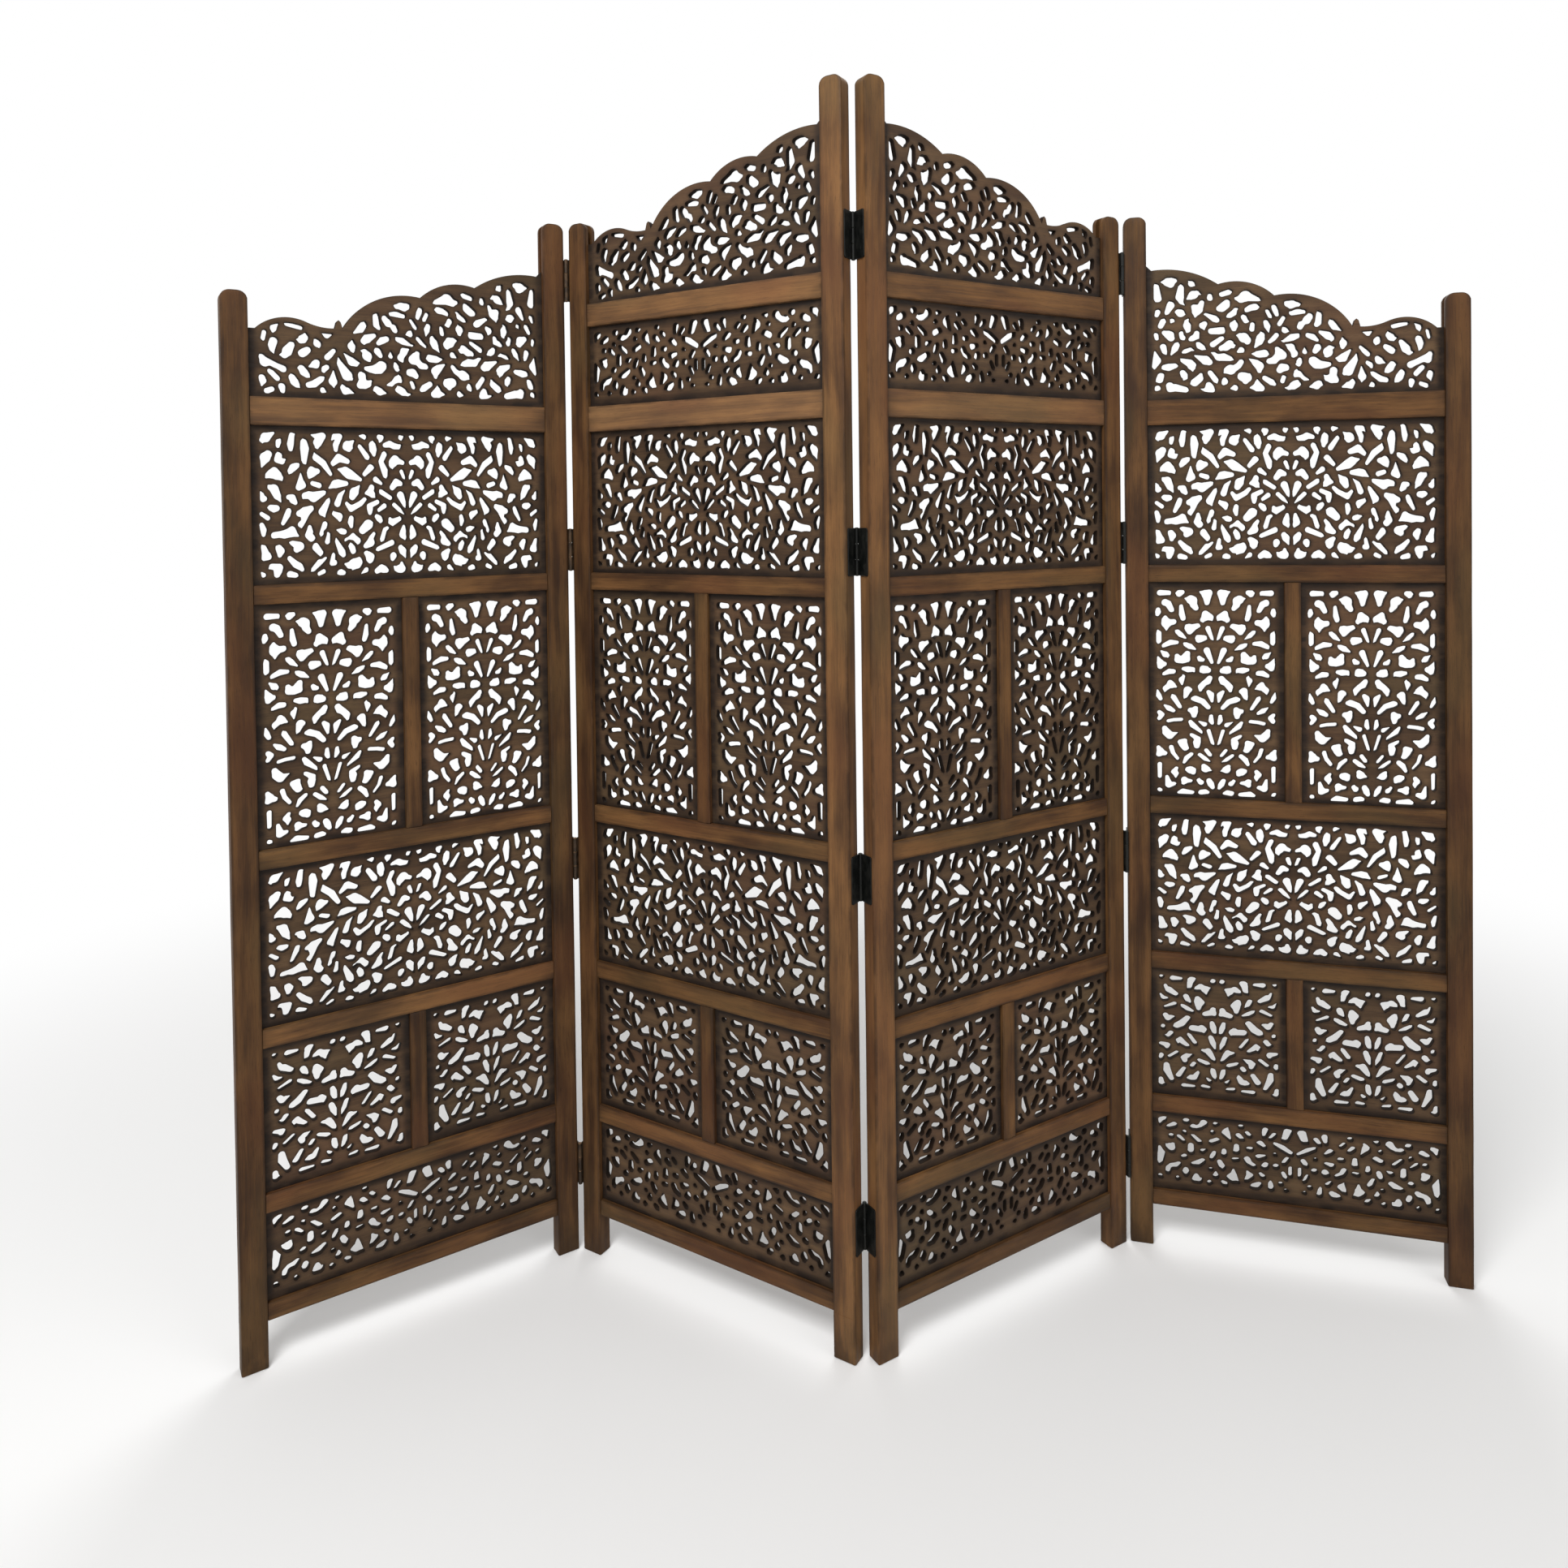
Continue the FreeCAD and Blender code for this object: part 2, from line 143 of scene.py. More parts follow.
# Fretwork openings. Each is a short line along the opening's middle, in millimetres
# from the panel's lower left corner: x, z and the opening's width there, point by point.
# The half designs are mirrored about the panel's middle, and the crest is drawn whole.
WIDE_HALF = (
    (17,204,3, 16,208,8, 21,212,15, 32,219,4), (41,210,3, 38,206,9, 37,200,7),
    (60,218,3, 56,216,9, 54,203,11, 54,196,8), (71,211,3, 72,206,11, 73,197,14, 72,178,9, 74,175,4),
    (82,217,3, 92,214,12, 98,216,11, 91,206,14, 90,200,8),
    (110,210,3, 114,216,8, 122,216,9, 116,203,10, 116,196,8),
    (142,210,3, 133,202,16, 130,200,11, 134,198,11, 140,199,3), (149,217,3, 156,216,9, 157,212,3),
    (178,216,9, 182,216,8, 180,212,8, 178,208,3), (214,218,3, 210,216,10, 214,218,3),
    (184,202,3, 186,204,8, 194,206,11, 199,203,11, 206,202,9, 210,205,3),
    (169,210,3, 168,204,12, 169,197,13, 170,190,8), (149,204,3, 150,201,8, 160,186,10, 162,183,4),
    (186,194,3, 185,190,10, 180,179,9, 185,166,12, 186,158,9, 187,154,3),
    (197,168,3, 196,174,11, 198,178,15, 201,182,15, 206,180,10, 212,178,8, 213,175,3),
    (210,164,8, 213,156,7, 215,153,3), (111,172,3, 112,176,9, 120,184,13, 132,179,9),
    (86,191,3, 88,184,11, 98,176,11, 108,160,7), (118,167,3, 129,164,15, 134,160,16, 150,152,7),
    (170,170,3, 165,170,11, 156,160,8, 156,157,3), (172,152,10, 180,146,6),
    (196,140,10, 202,148,12, 208,146,9, 211,144,3), (105,139,3, 114,145,13, 119,146,13, 130,146,8),
    (83,146,8, 92,143,9), (78,154,4, 80,158,10, 82,162,15, 82,166,11, 85,163,13, 90,164,9),
    (67,161,3, 67,146,12, 64,140,10, 70,143,10, 72,148,3),
    (66,175,3, 62,172,9, 57,169,12, 53,164,9, 51,160,3),
    (37,191,3, 38,186,11, 36,180,10, 42,178,10, 47,181,3),
    (26,192,3, 24,188,12, 20,183,16, 15,169,3),
    (20,154,3, 24,158,10, 29,160,15, 32,164,12, 35,158,15, 40,154,9, 42,150,3),
    (23,143,3, 26,140,9, 31,138,14, 35,128,12, 40,119,3), (13,134,3, 15,130,7, 16,123,9, 18,124,9),
    (48,124,3, 50,126,8, 56,126,9, 56,122,12, 59,118,8),
    (69,124,3, 72,128,10, 78,129,12, 84,126,16, 98,132,8, 101,134,3),
    (128,136,3, 121,128,9, 117,116,11), (149,143,3, 141,133,15, 138,126,11, 137,122,3),
    (166,140,10, 164,134,11, 160,130,11, 163,131,14, 166,130,12, 171,125,3),
    (177,136,3, 180,133,9, 193,124,8, 196,119,4), (208,128,13, 214,113,8, 215,109,3),
    (130,116,7, 136,108,10, 150,116,9, 158,125,7), (174,118,8, 162,112,9, 163,108,11, 163,102,8),
    (184,112,9, 176,106,7, 175,103,3), (196,119,4, 198,114,8, 206,106,8, 213,99,3),
    (106,124,3, 104,120,8, 96,104,13, 99,97,4),
    (83,112,3, 80,109,10, 72,104,16, 64,102,10, 72,104,16, 70,91,8, 66,86,10, 67,81,3),
    (50,106,9, 48,100,10, 42,88,7), (22,111,3, 26,111,9, 34,110,10, 30,108,9, 24,108,3),
    (14,102,7, 22,96,8), (12,88,3, 14,86,8, 16,79,10, 16,72,7),
    (27,68,3, 30,71,10, 37,72,10, 44,72,13, 50,74,14, 54,78,12, 50,74,14, 55,74,13, 63,69,3),
    (78,82,7, 78,75,11, 76,70,11, 80,66,12, 85,66,3), (99,86,9, 97,79,9, 94,72,8, 93,68,3),
    (111,104,4, 112,101,8, 119,97,12, 120,92,7), (136,94,9, 135,88,10, 136,82,7, 137,80,3),
    (167,87,3, 162,86,11, 160,84,16, 152,76,13), (173,96,9, 176,93,11, 178,90,9),
    (192,92,7, 194,86,12, 206,92,8, 206,96,3), (212,80,7, 211,73,11, 210,68,12, 215,64,11),
    (190,80,6, 184,76,8, 180,62,9, 178,58,3), (115,77,3, 122,75,10, 126,74,9),
    (100,75,3, 104,71,6, 102,60,9),
    (130,61,11, 136,63,14, 138,68,9, 139,63,14, 144,60,12, 144,55,3),
    (169,72,3, 168,70,7, 164,64,9, 163,57,14, 156,52,9, 154,47,3), (194,56,10, 174,47,8, 171,46,4),
    (114,65,3, 115,60,7, 122,44,12, 124,40,9), (86,54,10, 86,52,12, 92,44,10, 93,37,3),
    (50,60,3, 54,59,8, 64,54,14, 60,50,11), (32,55,3, 36,52,11, 38,48,13, 37,42,8),
    (13,57,3, 16,53,9, 18,46,11, 16,38,8, 22,40,10, 24,45,3),
    (50,37,8, 58,28,11, 63,25,11, 67,20,7), (100,36,4, 96,34,8, 91,30,10, 82,20,8, 79,17,3),
    (110,43,3, 110,40,7, 108,28,9, 112,28,8, 114,31,3),
    (126,26,4, 132,24,11, 139,26,17, 146,32,9, 145,28,14, 144,24,12, 136,17,3),
    (134,59,12, 138,45,10), (154,46,3, 156,42,8, 160,38,12, 164,36,11, 162,33,14, 162,30,10),
    (196,38,8, 196,36,12, 195,32,9), (207,48,10, 210,43,13, 214,33,4),
    (22,23,3, 26,26,9, 36,24,12, 34,19,13, 33,14,10, 31,11,3), (12,18,3, 15,14,8),
    (47,11,3, 50,14,10, 58,12,8, 61,11,3), (96,16,8, 90,13,7),
    (116,12,3, 118,14,8, 124,13,8, 120,14,10, 115,12,3), (159,18,3, 156,16,9, 149,11,3),
    (172,14,10, 178,18,12, 182,16,12, 186,14,8),
    (208,24,7, 208,16,14, 204,16,13, 200,16,9, 196,20,3),
)
TALL_HALF = (
    (18,336,10, 32,336,8, 34,333,3), (48,336,10, 53,337,8, 48,334,10, 43,336,3),
    (80,338,3, 90,334,16, 94,336,12, 91,330,14, 91,320,9),
    (26,320,12, 31,318,11, 36,308,9, 39,306,3), (15,308,8, 15,304,10, 14,300,7),
    (51,314,7, 52,301,10, 54,294,9), (57,327,3, 66,325,15, 70,324,13, 70,317,12, 74,311,9),
    (26,296,6, 26,291,12, 28,286,17, 33,287,11, 39,288,10, 33,287,11, 28,286,17, 28,274,3),
    (85,288,3, 84,292,9, 88,296,13, 88,302,11, 91,298,14, 96,296,11, 99,291,3),
    (92,278,9, 98,262,6, 100,259,3),
    (58,283,3, 60,282,6, 63,278,15, 64,272,10, 69,279,12, 76,282,9, 80,281,3),
    (42,274,3, 45,272,8, 50,267,9, 58,261,3), (14,274,3, 16,269,9, 16,256,9, 15,252,3),
    (22,246,3, 24,249,8, 34,254,10, 44,254,7), (55,253,4, 58,251,8, 64,248,10, 73,243,3),
    (76,264,7, 78,261,13, 78,258,9, 81,261,13, 86,262,10, 90,260,3), (90,242,11, 98,222,6),
    (78,230,7, 80,227,9, 84,226,7),
    (44,232,8, 46,226,13, 53,226,14, 60,226,10, 58,231,14, 60,236,10),
    (19,240,3, 26,234,11, 30,232,6, 30,229,3),
    (14,230,3, 18,220,12, 18,214,10, 19,217,13, 24,218,9),
    (54,211,7, 61,210,11, 68,210,9, 71,206,3),
    (91,215,3, 84,212,11, 82,208,8, 86,210,14, 92,209,10),
    (22,200,3, 24,202,7, 32,206,10, 38,206,9), (53,201,3, 54,198,6, 51,193,10, 52,184,3),
    (94,196,10, 91,191,12, 86,188,10, 81,182,11, 80,176,6),
    (25,172,3, 26,178,10, 31,182,10, 33,188,9, 35,184,13, 43,180,3),
    (13,175,3, 15,166,9, 18,160,7, 20,160,3), (36,168,3, 38,164,9, 48,148,7, 50,146,3),
    (55,162,3, 57,166,8, 60,176,13, 64,176,8), (92,174,7, 96,169,11, 98,158,5),
    (68,162,7, 72,162,11, 83,158,10, 92,148,8), (24,150,4, 31,145,10, 38,141,7),
    (64,143,9, 69,142,13, 72,146,9, 70,140,13, 70,134,9), (96,134,7, 96,127,9, 98,122,6),
    (77,125,3, 86,120,9), (30,124,7, 38,126,7, 50,127,7),
    (14,140,3, 16,138,8, 20,134,9, 16,128,8, 15,125,3), (64,124,7, 68,118,10, 80,108,6, 82,105,3),
    (92,110,7, 98,90,6, 100,87,3), (24,112,9, 27,105,14, 32,100,14, 44,105,3),
    (47,86,3, 48,90,9, 55,92,9, 53,86,14, 56,80,11, 61,79,3),
    (64,104,3, 66,102,7, 76,96,9, 74,90,13, 74,84,10),
    (14,80,7, 17,74,12, 15,68,10, 19,71,12, 24,70,9), (34,81,8, 37,71,7, 44,62,6, 44,60,3),
    (65,70,8, 58,64,9, 54,56,6), (88,78,7, 94,70,7, 96,68,3), (78,70,7, 87,63,8, 94,59,3),
    (84,52,8, 87,47,14, 96,44,3), (60,45,10, 64,44,14, 68,44,10, 68,40,9),
    (41,48,3, 42,46,7, 38,40,10, 41,37,10, 41,30,3), (16,52,8, 16,31,7),
    (27,32,6, 30,18,12, 38,20,8), (54,28,11, 55,25,11, 53,22,8, 57,26,10, 64,26,7),
    (77,31,3, 76,28,7, 80,24,10), (92,28,9, 95,22,11, 98,16,7), (15,10,7, 16,9,8, 19,7,3),
    (46,6,7, 52,8,11, 66,7,8), (80,8,10, 86,9,10, 90,8,7),
)
SMALL_HALF = (
    (19,195,3, 16,194,7, 19,195,3), (34,192,10, 46,192,7),
    (60,192,7, 63,192,11, 66,193,8, 61,187,10, 60,180,8, 57,177,3), (96,193,8, 96,192,9),
    (22,180,5, 24,175,7, 28,172,12, 38,166,9),
    (68,176,3, 72,179,9, 77,181,12, 82,180,9, 86,179,10, 90,180,6, 86,179,10, 82,180,9, 84,177,13,
     86,169,3), (14,165,3, 19,158,8, 24,158,6), (54,164,9, 57,158,9, 61,153,3),
    (72,162,9, 74,157,15, 78,155,11, 74,151,12, 74,144,7), (36,150,8, 22,144,6),
    (47,150,3, 50,147,8, 57,143,9, 64,140,6),
    (84,137,10, 94,140,12, 96,146,9, 94,140,12, 98,138,9, 101,140,3),
    (22,130,9, 26,124,10, 30,127,9, 34,128,6),
    (60,129,3, 56,128,10, 47,118,13, 40,114,12, 35,111,3), (18,112,7, 18,110,7),
    (64,112,12, 76,111,12, 78,114,11, 76,111,12, 80,111,13, 82,105,3),
    (94,124,7, 96,116,10, 98,108,7, 100,106,3), (30,101,9, 26,96,8, 21,97,3),
    (57,103,3, 59,100,7, 68,88,7), (92,100,8, 96,89,9, 99,80,3),
    (42,84,3, 42,90,9, 45,94,6, 49,87,10, 55,83,8, 58,81,3), (15,82,8, 24,80,11, 24,76,7),
    (80,77,7, 84,76,9, 88,78,9, 90,73,11, 96,64,7, 98,61,3), (39,70,7, 28,62,7),
    (64,69,3, 55,65,11, 50,62,10, 52,56,8), (15,64,7, 15,61,8, 14,58,6),
    (74,60,8, 86,56,9, 90,54,3), (69,56,3, 66,54,8, 63,50,8), (23,48,9, 24,38,12, 31,24,8),
    (50,44,8, 42,32,10), (72,42,3, 71,38,8, 66,30,11, 62,30,12, 58,29,8),
    (93,49,3, 95,46,8, 96,40,9, 98,34,7, 99,31,3), (86,32,4, 90,28,7), (14,24,7, 15,16,9, 21,16,3),
    (50,16,9, 65,16,7), (80,18,8, 88,17,7, 90,16,4),
)
STRIP_HALF = (
    (21,121,3, 18,118,9, 14,116,10, 12,108,3), (34,110,10, 26,106,8, 23,104,3),
    (52,119,9, 54,119,9), (50,100,7, 52,97,3), (59,109,3, 64,110,10, 69,109,8, 75,112,9, 80,118,12),
    (98,119,8, 103,120,3), (96,105,3, 94,105,8), (117,115,3, 114,110,8, 114,106,13, 121,94,3),
    (29,91,8, 30,91,8), (40,93,3, 42,90,8, 49,84,6), (61,96,3, 64,94,7, 73,86,8, 76,84,3),
    (104,91,3, 100,92,9, 92,88,9), (136,120,7, 138,120,7), (133,104,9, 137,100,8, 141,98,3),
    (146,110,7, 150,106,7, 151,104,3), (170,114,3, 174,118,10, 172,108,6),
    (189,114,3, 187,112,8, 182,106,7, 180,104,3),
    (199,106,3, 206,120,10, 210,120,9, 204,108,10, 199,105,3), (161,96,3, 166,95,10, 172,90,7),
    (187,99,3, 190,96,8, 199,92,10, 212,84,8, 213,81,3), (190,79,3, 188,80,6),
    (148,84,7, 152,84,8, 154,84,3), (130,86,8, 130,78,10, 126,75,3),
    (21,75,3, 28,71,14, 30,68,12, 29,72,12, 32,76,7), (60,78,9, 60,68,10, 62,65,3),
    (84,74,3, 78,71,8, 75,70,3), (111,76,7, 111,70,9), (96,70,7, 94,65,9, 92,60,7),
    (132,64,6, 126,63,7), (146,70,3, 146,66,10, 149,60,9, 156,56,8, 159,55,3),
    (160,74,3, 164,72,10, 172,74,7), (174,60,10, 173,58,11, 168,56,3), (189,60,9, 190,60,9),
    (209,74,3, 206,74,8, 202,68,8, 200,65,3), (211,60,6, 211,47,6), (200,50,6, 204,42,7, 205,39,3),
    (11,70,4, 14,59,12, 12,44,9, 11,39,3), (48,57,8, 50,58,9),
    (78,54,9, 71,49,11, 64,47,8, 60,46,3), (104,56,8, 108,48,10, 109,43,3),
    (41,44,8, 36,40,11, 30,39,10, 25,35,9, 24,29,8, 25,26,3), (52,36,8, 52,32,11, 52,28,7),
    (90,42,6, 91,42,6), (98,38,3, 98,32,10), (125,46,3, 125,36,11, 120,32,11, 125,30,14, 133,25,3),
    (146,46,3, 150,38,12, 146,32,8, 143,29,3), (166,44,6, 170,40,8, 172,38,3), (196,32,7, 197,32,7),
    (181,34,3, 181,30,7, 182,22,9), (164,26,9, 160,23,12, 156,22,10, 151,20,3),
    (109,22,7, 112,20,9, 115,17,3), (92,19,3, 89,19,9),
    (68,28,7, 68,24,11, 66,20,10, 72,20,10, 76,24,3), (42,20,3, 40,20,8),
    (15,18,3, 12,20,8, 15,18,3), (207,22,3, 204,22,6, 207,22,3),
)
CREST = (
    (23,96,3, 22,94,7, 20,85,7, 20,82,3), (41,109,3, 35,104,10, 34,100,10, 33,95,4),
    (49,110,3, 52,108,8, 70,104,8), (77,96,3, 76,90,11, 73,87,13, 70,84,8, 65,86,3),
    (91,86,7, 93,82,12, 96,80,6, 95,76,3), (114,98,3, 106,95,10, 99,99,3),
    (34,82,12, 32,76,12, 32,70,9, 34,64,3), (61,81,3, 58,78,10, 52,68,15, 48,62,10, 42,62,3),
    (83,71,3, 80,72,10, 76,69,12, 72,66,12, 67,67,3),
    (16,61,3, 18,58,9, 22,51,15, 38,46,9, 46,42,11), (28,43,4, 29,38,9, 38,28,9),
    (18,28,10, 19,24,11, 17,16,3), (31,12,8, 24,9,9), (44,16,11, 45,10,8),
    (57,35,3, 58,30,11, 61,24,13, 64,20,10, 68,16,3),
    (66,44,3, 71,44,11, 74,39,13, 78,35,10, 82,32,3), (92,54,10, 90,51,13, 81,47,3),
    (116,73,7, 111,67,9, 106,62,9), (108,50,3, 106,48,8, 102,45,9, 101,42,7),
    (102,33,3, 98,30,9, 88,22,11, 80,20,9), (115,43,3, 114,27,14, 115,18,3),
    (104,11,3, 100,13,10, 104,11,3), (122,63,3, 124,54,10, 134,37,17, 140,32,6, 142,33,3),
    (130,70,3, 141,58,14, 146,56,11, 152,57,3), (142,90,3, 141,81,13, 142,76,9, 143,72,3),
    (127,23,3, 128,18,10, 130,12,9, 134,14,11, 143,11,3),
    (160,42,3, 155,38,13, 156,30,12, 152,23,11, 158,25,15, 164,26,11, 169,31,3),
    (160,119,3, 158,114,11, 154,108,12, 144,101,3), (178,133,3, 176,128,10, 177,116,11, 180,112,8),
    (190,126,12, 194,120,13, 198,116,6, 202,114,11, 204,110,10, 203,107,3),
    (196,131,3, 198,134,7, 210,135,12, 216,133,9),
    (203,147,3, 208,146,10, 215,146,16, 222,148,11, 226,151,3),
    (174,100,7, 163,94,14, 158,90,10, 159,85,3), (192,96,9, 185,93,11, 179,88,7),
    (154,75,3, 160,74,10, 163,68,16, 165,62,7, 168,61,3), (175,80,3, 178,76,12, 182,70,9),
    (197,76,3, 197,70,9), (220,104,3, 226,106,11, 229,111,3),
    (205,99,3, 208,96,9, 215,94,12, 228,88,5, 231,89,3),
    (225,83,3, 217,78,13, 214,72,10, 212,68,12, 214,64,7),
    (240,78,3, 237,76,9, 234,70,15, 230,66,15, 237,64,12, 242,58,12, 249,57,10, 253,56,3),
    (190,58,3, 184,54,16, 180,50,17, 174,48,14, 162,48,9, 159,50,3),
    (204,58,7, 205,54,10, 206,50,8, 210,50,3), (221,43,3, 225,46,12, 230,46,14, 234,42,11),
    (208,42,3, 210,38,7, 207,33,15, 202,28,12, 191,25,3), (225,31,3, 228,30,8, 230,24,8),
    (171,16,3, 176,18,11, 180,15,13, 190,13,3),
    (206,26,10, 208,20,13, 214,16,13, 221,12,6, 226,13,3), (228,126,7, 234,116,8),
    (242,144,9, 240,138,10, 238,132,8), (252,138,7, 248,130,8, 246,127,3),
    (254,120,9, 252,114,11, 250,104,3), (238,99,8, 243,93,8, 249,88,6),
    (261,105,3, 260,100,10, 262,95,14, 264,90,13, 271,80,3),
    (250,69,3, 256,70,13, 266,69,12, 275,70,3),
    (279,62,3, 270,56,12, 264,50,15, 264,42,8, 265,40,3), (256,30,9, 246,23,11, 242,20,7),
    (267,28,3, 267,22,10, 266,17,15, 261,14,11, 267,16,15, 278,15,3),
    (262,156,3, 266,158,8, 278,162,14, 284,164,19, 291,160,14, 298,161,7),
    (264,146,3, 270,146,12, 276,145,11, 282,142,9, 285,138,3),
    (287,135,3, 287,130,10, 284,124,9, 279,123,3), (274,118,8, 275,110,9),
    (298,101,3, 292,100,11, 287,97,17, 282,93,13, 282,90,10), (296,74,4, 291,77,11, 297,74,3),
    (305,173,3, 310,172,10, 320,169,9), (312,156,10, 314,152,14, 320,147,14, 324,146,10),
    (296,145,3, 299,144,6, 302,138,10, 308,134,9, 312,132,4),
    (300,126,3, 302,118,14, 302,112,9, 304,110,3), (347,138,3, 344,138,6, 331,130,12, 328,128,10),
    (338,168,8, 338,164,10, 337,161,4), (317,115,3, 321,110,13, 336,110,11, 340,109,3),
    (320,98,8, 334,88,10, 337,86,3),
    (300,86,3, 304,84,8, 308,88,13, 314,83,13, 320,81,11, 324,75,8),
    (336,75,3, 324,69,17, 308,64,9, 303,62,3),
    (291,58,9, 295,52,10, 301,48,11, 307,46,17, 312,45,12, 317,41,3),
    (278,38,3, 282,32,15, 286,33,16, 290,34,15, 285,31,15, 285,26,10),
    (316,30,8, 316,27,11, 318,24,7), (307,15,3, 301,16,11, 307,15,3),
    (338,42,9, 330,30,10, 328,25,3),
    (340,22,11, 339,18,15, 335,14,9, 341,16,12, 346,14,6, 352,16,3),
    (361,71,4, 345,63,16, 340,60,12, 335,59,3), (352,40,6, 354,34,12, 362,27,13, 368,25,3),
    (383,67,3, 380,64,8, 369,59,14, 364,58,8, 366,55,15, 365,46,3),
    (380,44,10, 378,40,12, 376,36,8, 379,32,3), (358,94,6, 354,87,11, 350,84,10, 345,81,3),
    (363,80,3, 368,82,7, 376,79,8, 380,77,4),
    (359,111,3, 358,108,9, 360,100,12, 364,100,11, 368,98,7),
    (371,132,3, 374,128,7, 373,121,13, 372,114,10, 376,108,3), (346,123,9, 349,120,12, 347,113,3),
    (350,158,8, 352,152,10, 356,147,16, 359,148,15, 362,151,10, 359,148,15, 356,147,16, 359,143,14,
     361,134,3), (352,171,3, 358,174,9, 363,171,15, 367,168,11, 373,164,3),
    (361,186,3, 366,189,11, 370,194,3), (382,189,3, 382,184,10, 384,168,14, 382,160,8, 377,155,3),
    (391,144,3, 386,144,11, 383,142,14, 380,140,8, 376,140,3), (381,108,10, 380,102,10, 378,98,3),
    (387,94,3, 389,90,10, 392,84,11, 398,74,3),
    (392,196,9, 397,195,14, 398,190,12, 402,194,16, 413,195,3),
    (400,162,3, 398,156,13, 404,144,8, 406,141,3), (398,127,3, 396,130,9, 398,127,3),
    (393,101,3, 398,108,11, 403,108,13, 408,111,9, 402,108,14, 398,102,12),
    (422,192,3, 420,188,9, 418,168,13, 421,163,3), (418,146,9, 420,140,7),
    (408,134,3, 410,130,10, 414,122,9, 413,119,3), (422,111,3, 421,108,8, 420,102,7),
    (410,88,11, 408,80,9, 406,76,4), (423,81,3, 420,66,14, 424,56,8, 424,52,3),
    (388,56,3, 392,56,9, 402,54,13, 408,54,10, 412,52,3),
    (410,43,3, 414,40,11, 416,34,12, 421,31,3),
    (402,26,6, 400,23,13, 400,18,11, 392,20,13, 376,16,10, 372,15,3),
    (418,20,8, 419,20,10, 422,17,4),
)

# kind: opening lines, drawn width and height, true width and height, mirrored, the solid
# margins at the sides, the bottom and the top, and the least strap between openings with
# how much every opening is wider on each side than it is drawn
DESIGNS = {
    "wide": (WIDE_HALF, (436, 229), (436.0, 228.0), True, (7, 6, 6), (3.0, -0.3)),
    "tall": (TALL_HALF, (206, 354), (205.5, 351.0), True, (7, 3, 7), (3.0, -0.15)),
    "small": (SMALL_HALF, (206, 209), (205.5, 209.0), True, (7, 7, 7), (2.8, 0.2)),
    "strip": (STRIP_HALF, (436, 133), (436.0, 129.0), True, (6, 8, 6), (2.8, 0.2)),
    "crest": (CREST, (436, 222), (436.0, 219.0), False, (8, 5, 0), (3.0, -0.15)),
}


# The frame's leaves and solids

def mesh_points(mesh):
    """A mesh's vertices as an array."""
    flat = np.empty(len(mesh.vertices) * 3)
    mesh.vertices.foreach_get("co", flat)
    return flat.reshape(-1, 3)


def solid_points(node):
    """The vertices of each separate solid of a CAD node."""
    work = bmesh.new()
    work.from_mesh(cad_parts[node].data)
    bmesh.ops.remove_doubles(work, verts=work.verts, dist=MERGE)
    work.verts.ensure_lookup_table()
    waiting = set(range(len(work.verts)))
    solids = []
    while waiting:
        reached = [waiting.pop()]
        island = []
        while reached:
            vert = work.verts[reached.pop()]
            island.append(vert.co[:])
            for edge in vert.link_edges:
                other = edge.other_vert(vert).index
                if other in waiting:
                    waiting.remove(other)
                    reached.append(other)
        solids.append(np.array(island))
    work.free()
    return solids


class Leaf:
    """A leaf's place in the frame and its own axes."""

    def __init__(self, name):
        self.name = name
        self.body = name + "_leaf"
        self.inner = name.startswith("inner")
        self.mirrored = name.endswith("right")
        turn = Matrix.Rotation(math.radians(LEAF_ANGLES[name]), 4, "Z")
        self.axes = np.array(turn.to_3x3().transposed())
        stiles = [mesh_points(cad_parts[f"{name}_{part}_stile"].data)
                  for part in ("short", "long")]
        local = np.vstack(stiles) @ self.axes.T
        self.origin = local.min(0) @ self.axes
        self.matrix = Matrix.Translation(Vector(self.origin)) @ turn
        self.width = np.ptp(local[:, 0]) / MM

    def boxes(self, node, mirrored=None):
        """The lowest and highest corner of each solid of a node, from the floor up."""
        mirrored = self.mirrored if mirrored is None else mirrored
        found = []
        for points in solid_points(node):
            local = (points - self.origin) @ self.axes.T / MM
            if mirrored:
                local[:, 0] = self.width - local[:, 0]
            found.append((local.min(0), local.max(0)))
        return sorted(found, key=lambda box: (round(box[0][2]), round(box[0][0])))


leaves = {name: Leaf(name) for name in LEAF_ANGLES}
randoms = np.random.default_rng(SEED)


# Making pieces. A skin is a list of points, its faces, the wear at each point, which on the frets
# is painted shade, and the material of each face. The last two are None where they are zero all
# over.

def set_attribute(mesh, name, values):
    """Stores a value, or a vector, at each vertex of a mesh."""
    values = np.array(values, np.float32)
    kind, key = ("FLOAT_VECTOR", "vector") if values.ndim > 1 else ("FLOAT", "value")
    made = mesh.attributes.new(name, kind, "POINT")
    made.data.foreach_set(key, values.ravel())


